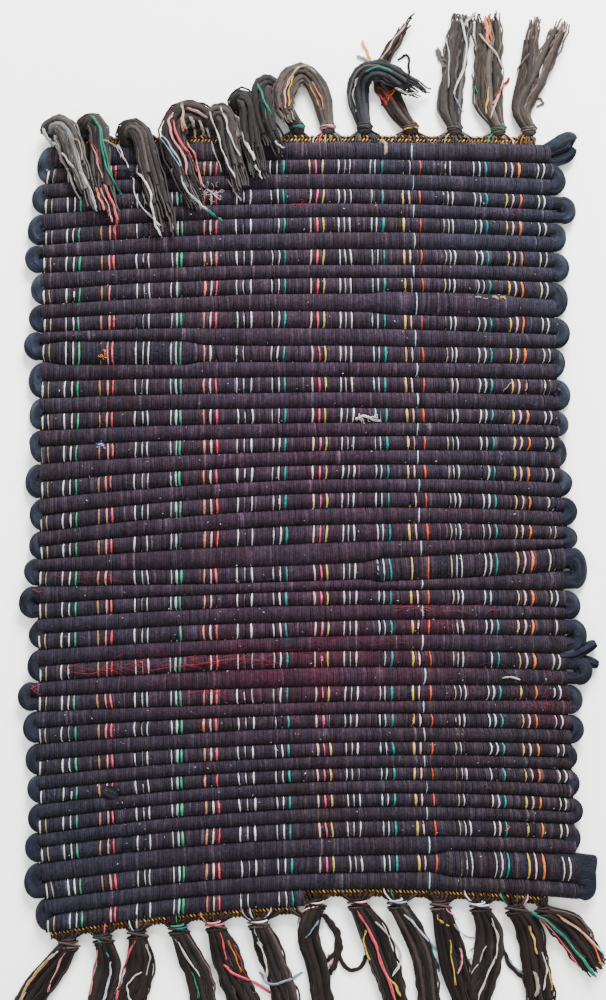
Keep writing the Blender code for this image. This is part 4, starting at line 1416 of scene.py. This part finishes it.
# Coloured threads that lie on the tassels: colour, thickness and pixels of the photo on the way
threadRows = (
    ("top_01", (
        ("paleGreen", 2.2, ((43, 129), (47, 138), (54, 146))),
        ("greyWhite", 1.3, ((55, 145), (64, 156), (73, 167))),
        ("greyWhite", 1.0, ((60, 158), (68, 170))),
        ("tan", 0.9, ((73, 138), (80, 144), (82, 160))),
        ("greyWhite", 1.1, ((80, 172), (88, 185), (94, 199), (96, 210))),
    )),
    ("top_02", (
        ("teal", 1.3, ((90, 115), (99, 127), (103, 154), (109, 173), (122, 195))),
        ("teal", 1.1, ((93, 116), (101, 130), (106, 156), (112, 176))),
        ("rust", 1.0, ((89, 139), (97, 152), (100, 165))),
        ("tan", 1.0, ((104, 140), (112, 144), (118, 150), (121, 158))),
        ("salmon", 1.3, ((96, 188), (100, 199), (105, 210))),
        ("coral", 1.5, ((104, 185), (112, 202), (117, 219), (114, 233))),
        ("pink", 1.0, ((100, 188), (108, 205), (112, 222))),
        ("pink", 0.9, ((92, 143), (97, 160), (102, 178))),
    )),
    ("top_03", (
        ("white", 1.1, ((118, 145), (123, 156), (129, 168))),
        ("white", 1.3, ((137, 172), (149, 188), (152, 208), (156, 226), (161, 235))),
        ("white", 1.0, ((133, 178), (137, 200), (150, 215), (160, 226))),
        ("greyWhite", 0.9, ((142, 190), (147, 206))),
    )),
    ("top_04", (
        ("blueGrey", 1.0, ((159, 136), (169, 150), (180, 167))),
        ("blueWhite", 1.0, ((162, 135), (172, 149), (182, 166))),
        ("pink", 1.4, ((173, 113), (169, 123), (174, 141), (184, 156), (187, 174))),
        ("coral", 1.4, ((173, 121), (178, 138), (189, 154), (197, 172))),
        ("salmon", 1.3, ((181, 118), (186, 141), (195, 156), (201, 184))),
        ("tan", 1.8, ((183, 103), (183, 118), (187, 134))),
        ("beige", 2.0, ((190, 117), (194, 126), (195, 138))),
        ("beige", 1.8, ((199, 121), (203, 130), (203, 140))),
        ("dustyPink", 1.4, ((187, 108), (197, 112), (207, 118))),
        ("blueWhite", 1.2, ((181, 176), (185, 188), (193, 197))),
        ("paleGreen", 1.5, ((192, 196), (201, 205), (208, 211))),
        ("teal", 1.5, ((206, 209), (215, 216), (223, 221))),
        ("greyWhite", 1.0, ((201, 184), (209, 191), (219, 199))),
    )),
    ("top_05", (
        ("white", 1.2, ((219, 103), (225, 118), (231, 138), (240, 156))),
        ("white", 1.0, ((210, 112), (219, 140), (226, 160), (235, 178))),
        ("greyWhite", 0.9, ((207, 128), (214, 150), (222, 172))),
    )),
    ("top_06", (
        ("white", 1.6, ((246, 143), (250, 150), (255, 160))),
        ("greyWhite", 1.0, ((236, 112), (240, 130), (248, 148))),
        ("white", 1.0, ((255, 165), (259, 172), (262, 179))),
        ("greyWhite", 1.1, ((228, 180), (234, 190), (241, 201))),
    )),
    ("top_07", (
        ("teal", 1.4, ((258, 84), (264, 100), (273, 118), (285, 138))),
        ("dustyPink", 1.3, ((270, 95), (274, 106), (279, 113))),
        ("pink", 1.0, ((276, 112), (286, 118), (297, 121))),
        ("white", 1.1, ((275, 141), (280, 146), (284, 148))),
    )),
    ("top_08", (
        ("beige", 1.6, ((290, 80), (296, 70), (306, 66), (316, 74))),
        ("pink", 1.1, ((286, 108), (285, 92), (290, 78))),
        ("yellow", 0.9, ((289, 106), (289, 90), (294, 76))),
        ("salmon", 1.1, ((312, 82), (320, 96), (325, 112))),
        ("yellow", 0.9, ((309, 84), (316, 98), (321, 110))),
    )),
    ("top_09", (
        ("teal", 1.3, ((366, 72), (378, 67), (392, 72))),
        ("greyWhite", 1.2, ((396, 88), (408, 94), (420, 92))),
        ("greyWhite", 0.9, ((356, 112), (353, 92), (358, 78))),
        ("ash", 1.3, ((350, 108), (351, 86), (362, 68), (380, 66))),
    )),
    ("top_10", (
        ("red", 1.2, ((381, 106), (386, 97), (392, 90))),
        ("red", 1.7, ((375, 90), (381, 97), (387, 105))),
        ("rust", 1.7, ((379, 87), (386, 94), (395, 103))),
        ("orange", 1.1, ((385, 105), (391, 95), (396, 88))),
        ("yellow", 1.8, ((362, 41), (366, 50), (371, 61))),
        ("beige", 2.2, ((357, 56), (364, 59), (373, 63))),
        ("pinkWhite", 0.9, ((381, 60), (392, 43), (406, 24))),
    )),
    ("top_09", (
        ("black", 1.6, ((398, 60), (407, 55), (409, 66), (408, 80))),
    )),
    ("top_11", (
        ("white", 1.4, ((461, 20), (466, 42), (465, 62), (454, 94))),
        ("blueGrey", 1.1, ((454, 92), (457, 102), (463, 112))),
        ("greyWhite", 0.9, ((446, 34), (449, 60), (448, 88))),
        ("ash", 2.2, ((446, 68), (440, 60), (436, 50))),
        ("ash", 1.8, ((446, 62), (441, 56), (438, 48))),
        ("greyWhite", 2.0, ((464, 26), (469, 19), (476, 13))),
    )),
    ("top_12", (
        ("salmon", 2.2, ((485, 18), (487, 30), (488, 44))),
        ("orange", 1.3, ((488, 16), (490, 30), (491, 40))),
        ("rust", 2.0, ((495, 97), (503, 87), (509, 78))),
        ("salmon", 1.4, ((493, 104), (500, 92), (506, 82))),
        ("pinkWhite", 1.2, ((479, 34), (493, 50), (502, 66), (503, 82), (490, 119))),
        ("yellow", 1.0, ((489, 86), (487, 100), (486, 114))),
        ("teal", 1.0, ((472, 74), (474, 84), (478, 94))),
    )),
    ("top_13", (
        ("white", 1.2, ((546, 48), (541, 70), (536, 102))),
        ("greyWhite", 0.9, ((559, 22), (551, 44), (546, 62))),
        ("ash", 1.4, ((529, 54), (522, 63), (517, 71))),
        ("ash", 1.5, ((533, 100), (540, 99), (543, 104), (536, 107))),
    )),
    ("bottom_01", (
        ("gold", 1.3, ((50, 958), (38, 972), (27, 986), (19, 1001))),
        ("tan", 1.3, ((53, 954), (40, 968), (28, 984), (21, 1002))),
        ("white", 1.2, ((58, 951), (48, 960), (38, 970))),
        ("pink", 1.0, ((66, 950), (56, 970), (48, 992))),
    )),
    ("bottom_02", (
        ("teal", 1.3, ((97, 938), (103, 946), (108, 957))),
        ("blueWhite", 1.3, ((111, 962), (109, 980), (103, 1002))),
        ("salmon", 1.1, ((98, 950), (94, 970), (90, 995))),
    )),
    ("bottom_03", (
        ("coral", 1.2, ((136, 940), (128, 956), (122, 975), (117, 1001))),
        ("white", 1.1, ((141, 972), (131, 980), (127, 990), (132, 1002))),
        ("greyWhite", 0.9, ((146, 944), (150, 958), (146, 975))),
    )),
    ("bottom_04", (
        ("white", 1.1, ((176, 938), (186, 956), (200, 976))),
        ("teal", 1.0, ((192, 972), (196, 984), (199, 998))),
    )),
    ("bottom_05", (
        ("coral", 1.7, ((224, 965), (236, 975), (254, 982), (271, 993))),
        ("rust", 1.2, ((233, 944), (240, 960), (246, 977))),
        ("orange", 0.9, ((228, 940), (236, 958), (241, 972))),
        ("coral", 1.1, ((220, 930), (224, 948), (226, 960))),
    )),
    ("bottom_06", (
        ("white", 1.2, ((258, 942), (265, 958), (267, 977))),
        ("blueGrey", 1.5, ((259, 972), (270, 984), (288, 980), (302, 972))),
        ("greyWhite", 0.9, ((254, 926), (257, 936), (262, 946))),
    )),
    ("bottom_07", (
        ("pinkWhite", 1.2, ((298, 924), (302, 912), (318, 906))),
        ("blueGrey", 1.1, ((306, 938), (312, 930), (319, 920))),
        ("umber", 3.6, ((322, 914), (334, 926), (340, 942), (337, 958), (330, 974))),
        ("umber", 3.0, ((326, 920), (336, 934), (336, 950), (326, 962))),
        ("umber", 2.6, ((339, 946), (342, 962), (351, 970), (361, 966), (367, 954))),
        ("dustyPink", 1.4, ((328, 954), (334, 960), (329, 966))),
    )),
    ("bottom_08", (
        ("coral", 1.6, ((355, 908), (372, 936), (380, 958), (396, 1002))),
        ("white", 1.2, ((376, 922), (394, 942), (401, 958), (393, 976))),
        ("yellow", 1.0, ((366, 930), (364, 945), (370, 960))),
        ("yellow", 1.3, ((386, 976), (395, 985), (400, 996))),
    )),
    ("bottom_09", (
        ("blueWhite", 1.4, ((400, 912), (414, 924), (436, 950))),
        ("deepTeal", 1.2, ((428, 938), (434, 954), (440, 972))),
    )),
    ("bottom_10", (
        ("yellow", 1.1, ((437, 911), (439, 920), (449, 926))),
        ("pink", 1.0, ((444, 908), (452, 914), (456, 920))),
        ("greyWhite", 0.9, ((454, 924), (466, 936), (484, 938))),
        ("beige", 1.2, ((470, 950), (482, 944), (494, 940))),
        ("pink", 1.2, ((460, 948), (462, 960), (458, 974))),
        ("yellow", 0.9, ((450, 940), (452, 962), (456, 985))),
    )),
    ("bottom_11", (
        ("white", 1.1, ((490, 918), (497, 934), (496, 955), (485, 980), (478, 1000))),
        ("greyWhite", 1.0, ((486, 946), (478, 964), (470, 976))),
        ("dustyPink", 1.1, ((472, 958), (462, 966), (466, 980))),
    )),
    ("bottom_12", (
        ("blueGrey", 1.6, ((496, 930), (506, 954), (514, 967), (524, 974))),
        ("umber", 2.6, ((493, 926), (503, 950), (512, 968), (524, 978))),
        ("yellow", 1.2, ((529, 926), (534, 940), (537, 954))),
        ("white", 1.2, ((542, 952), (547, 970), (543, 990))),
        ("yellow", 1.0, ((546, 962), (550, 976), (552, 990))),
        ("beige", 2.2, ((534, 972), (538, 984), (536, 996))),
    )),
    ("bottom_13", (
        ("teal", 1.6, ((527, 911), (545, 920), (562, 935), (580, 956), (596, 977))),
        ("orange", 1.2, ((556, 914), (577, 928), (592, 944), (602, 966))),
        ("white", 1.1, ((560, 917), (584, 934), (604, 954))),
        ("coral", 0.9, ((540, 918), (562, 942), (580, 968))),
    )),
)


# A place read from the photo at mat height, moved to where it lies if it is higher or lower
def raised(spot, height):
    eye = cameraSpot()
    share = (height - view["lookAt"][2]) / (eye.z - view["lookAt"][2])
    return Vector((mix(spot.x, eye.x, share), mix(spot.y, eye.y, share), height))


# A coloured thread of a few strands through pixels of the photo, laid on what it crosses
def threadLines(tassel, colour, size, pixels, seed):
    flat = [Vector((*fromPhoto(pixel, view["lookAt"][2]).xy, 0)) for pixel in pixels]
    tint = linear(threadColours[colour])
    lines = []
    steps = fringe["threadSteps"] * (len(flat) - 1)
    strands = max([count for count, least in fringe["threadFrom"].items() if size > least] + [1])
    over, lift = fringe["threadOver"]
    wander, sway = fringe["threadWander"]
    thin, thickens = fringe["threadEnds"]
    for strand in range(strands):
        turn = 2 * math.pi * strand / strands
        points, sizes = [], []
        for i, spot in enumerate(routeCurve(flat, steps)):
            height = bundleTop(tassel, spot.x, spot.y) if tassel else matTop(spot.x, spot.y)
            place = raised(spot, height)
            apart = fringe["threadApart"] * size if strands > 1 else 0.0
            angle = turn + i * fringe["threadTurn"]
            place.x += apart * math.cos(angle) + wander * drift(seed, i * 0.3, strand)
            place.x += sway * math.sin(i * 0.9 + seed)
            place.y += apart * math.sin(angle)
            place.z += over + lift * math.sin(angle)
            points.append(place)
            taper = mix(thin, 1.0, smooth(min(i, steps - i), 0, thickens))
            sizes.append(fringe["threadSize"] * size * taper)
        light, lighter = fringe["threadLight"]
        shade = light + lighter * strand
        lines.append({
            "points": points, "sizes": sizes, "colours": dimmed(tint, shade), "thick": True})
    return lines


def buildTassel(name, tassel, tree, material):
    lines = tasselYarns(name, tassel) + gatheredEnds(name, tassel) + knotWraps(name, tassel)
    number = 0
    for owner, rows in threadRows:
        for colour, size, pixels in rows:
            if owner == name:
                lines += threadLines(tassel, colour, size, pixels, number * 1.3)
            number += 1
    piece = growYarns("tassel_" + name, lines, tree, material, fringe["radius"], fringe["sides"])
    return keepPiece(piece, "tassel_yarn", "tassel_" + name)


# Lint, fuzz and odd threads on the mat: the box of pixels that they lie in, their colour, count,
# length and thickness, and how far they stray from running across the mat
lintRows = (
    ((359, 416, 378, 420), "#e4ded8", 16, 3.5, 0.28, 1.0),
    ((60, 664, 110, 675), "#7e2a34", 16, 8.0, 0.13, 0.15),
    ((110, 661, 180, 671), "#7e2a34", 26, 9.0, 0.13, 0.15),
    ((180, 656, 275, 665), "#862f3a", 32, 9.0, 0.13, 0.15),
    ((110, 650, 330, 655), "#5c1e28", 30, 7.0, 0.12, 0.2),
    ((180, 690, 235, 696), "#6e2530", 12, 8.0, 0.12, 0.2),
    ((45, 574, 115, 583), "#6e2530", 14, 8.0, 0.12, 0.2),
    ((390, 606, 490, 612), "#862f3a", 24, 8.0, 0.13, 0.15),
    ((300, 634, 390, 646), "#5c1e28", 24, 8.0, 0.12, 0.2),
    ((430, 658, 560, 700), "#6e2530", 34, 7.0, 0.12, 0.3),
    ((520, 690, 575, 708), "#7e2a34", 26, 5.0, 0.13, 0.6),
    ((290, 198, 318, 206), "#7e2a34", 16, 5.0, 0.13, 0.4),
    ((470, 205, 520, 215), "#6e2530", 14, 6.0, 0.12, 0.3),
    ((100, 352, 106, 358), "#b5703a", 10, 2.6, 0.34, 1.0),
    ((97, 442, 104, 448), "#7f82b8", 14, 2.0, 0.5, 1.0),
    ((200, 186, 222, 200), "#a8989c", 24, 4.0, 0.22, 1.0),
    ((45, 160, 560, 890), "#8d8686", 340, 1.2, 0.22, 1.0),
    ((45, 160, 560, 890), "#c9c2c0", 60, 1.3, 0.26, 1.0),
    ((45, 160, 560, 890), "#4c4650", 260, 6.0, 0.11, 1.0),
)
strayRows = (
    ("tan", 2.2, ((381, 139), (386, 146), (385, 154))),
    ("black", 1.0, ((112, 172), (124, 170), (136, 176), (142, 190))),
    ("black", 1.0, ((113, 174), (110, 190), (118, 212))),
    ("black", 0.9, ((156, 166), (167, 174), (181, 171))),
    ("tan", 0.7, ((502, 393), (508, 386), (512, 382))),
    ("red", 0.7, ((24, 692), (32, 688), (41, 684))),
    ("red", 0.6, ((33, 588), (38, 592), (42, 591))),
    ("white", 1.5, ((356, 419), (364, 416), (374, 420), (381, 421))),
    ("greyWhite", 1.0, ((476, 297), (479, 297), (481, 298))),
    ("greyWhite", 0.7, ((483, 298), (486, 299), (488, 298))),
    ("tan", 1.3, ((492, 297), (495, 297), (498, 299))),
    ("yellow", 1.1, ((500, 298), (503, 297), (505, 299))),
    ("red", 0.35, ((61, 670), (90, 674), (108, 668), (124, 677))),
    ("red", 0.35, ((103, 668), (112, 660), (123, 653))),
    ("red", 0.4, ((138, 674), (165, 668), (200, 664), (233, 659), (262, 660))),
    ("red", 0.35, ((184, 694), (205, 691), (232, 695))),
    ("red", 0.35, ((266, 657), (290, 650), (320, 651))),
    ("red", 0.5, ((23, 681), (31, 688), (40, 695))),
    ("red", 0.4, ((25, 684), (33, 686), (38, 692))),
    ("white", 1.0, ((503, 678), (511, 677), (520, 680))),
    ("coral", 0.8, ((505, 831), (509, 828), (508, 825))),
)


lint = {
    "seed": 12,
    "straySeed": 60,
    "points": 4,
    "curl": 0.9,
    "over": (0.25, 0.3, 1.05),  # height over the mat, and the arch of a fibre
    "step": (0.7, 1.2),         # how the distance between its points varies
    "light": (0.6, 1.15),
}


def buildLint(tree, material):
    chance = random.Random(lint["seed"])
    over, lift, bend = lint["over"]
    lines = []
    for (left, top, right, bottom), colour, count, long, size, stray in lintRows:
        tint = linear(colour)
        for _ in range(count):
            pixel = (chance.uniform(left, right), chance.uniform(top, bottom))
            spot = fromPhoto(pixel, view["lookAt"][2])
            course = chance.uniform(-math.pi, math.pi) * stray
            curl = chance.uniform(-lint["curl"], lint["curl"]) * stray
            points = []
            for i in range(lint["points"]):
                height = matTop(spot.x, spot.y)
                if height:
                    points.append((spot.x, spot.y, height + over + lift * math.sin(i * bend)))
                step = long / (lint["points"] - 1) * chance.uniform(*lint["step"])
                spot = spot + Vector((math.cos(course), math.sin(course), 0)) * step
                course += curl
            if len(points) > 1:
                tone = dimmed(tint, chance.uniform(*lint["light"]))
                lines.append({"points": points, "sizes": size, "colours": tone})
    for number, (colour, size, pixels) in enumerate(strayRows):
        lines += threadLines(None, colour, size, pixels, lint["straySeed"] + number)
    piece = growYarns("lint", lines, tree, material, fringe["radius"], fringe["sides"])
    return keepPiece(piece, "tassel_yarn")


def main():
    print("camera and studio")
    buildCamera()
    buildStudio()
    print("materials")
    jersey = jerseyMaterial()
    warpYarn = spunYarn("warpYarn", 0.5, 0.45)
    tasselYarn = spunYarn("tasselYarn", 0.4, 0.2)
    headingYarn = spunYarn("headingYarn", 0.4, 0.3)
    levelYarns = yarnTree("warpYarns", "Z_UP")
    freeYarns = yarnTree("looseYarns", "MINIMUM_TWIST")
    print("rag picks")
    ragPiece = keepPiece(buildRag(jersey), "rag_weave", "woven_panel")
    print("warp")
    warpPieces = buildWarp(levelYarns, warpYarn)
    for piece in warpPieces:
        keepPiece(piece, "rag_weave")
    print("headings")
    buildHeading("headingTop", 1, freeYarns, headingYarn, "heading_top")
    buildHeading("headingBottom", -1, freeYarns, headingYarn, "heading_bottom")
    print("tassels")
    for name, tassel in tassels.items():
        buildTassel(name, tassel, freeYarns, tasselYarn)
    print("lint")
    buildLint(freeYarns, tasselYarn)
    count = {o.name: sum(len(p.vertices) - 2 for p in o.data.polygons)
             for o in bpy.data.objects if o.type == "MESH" and not o.hide_render}
    print("triangles", sum(count.values()), {k: v for k, v in count.items() if v > 20000})


main()
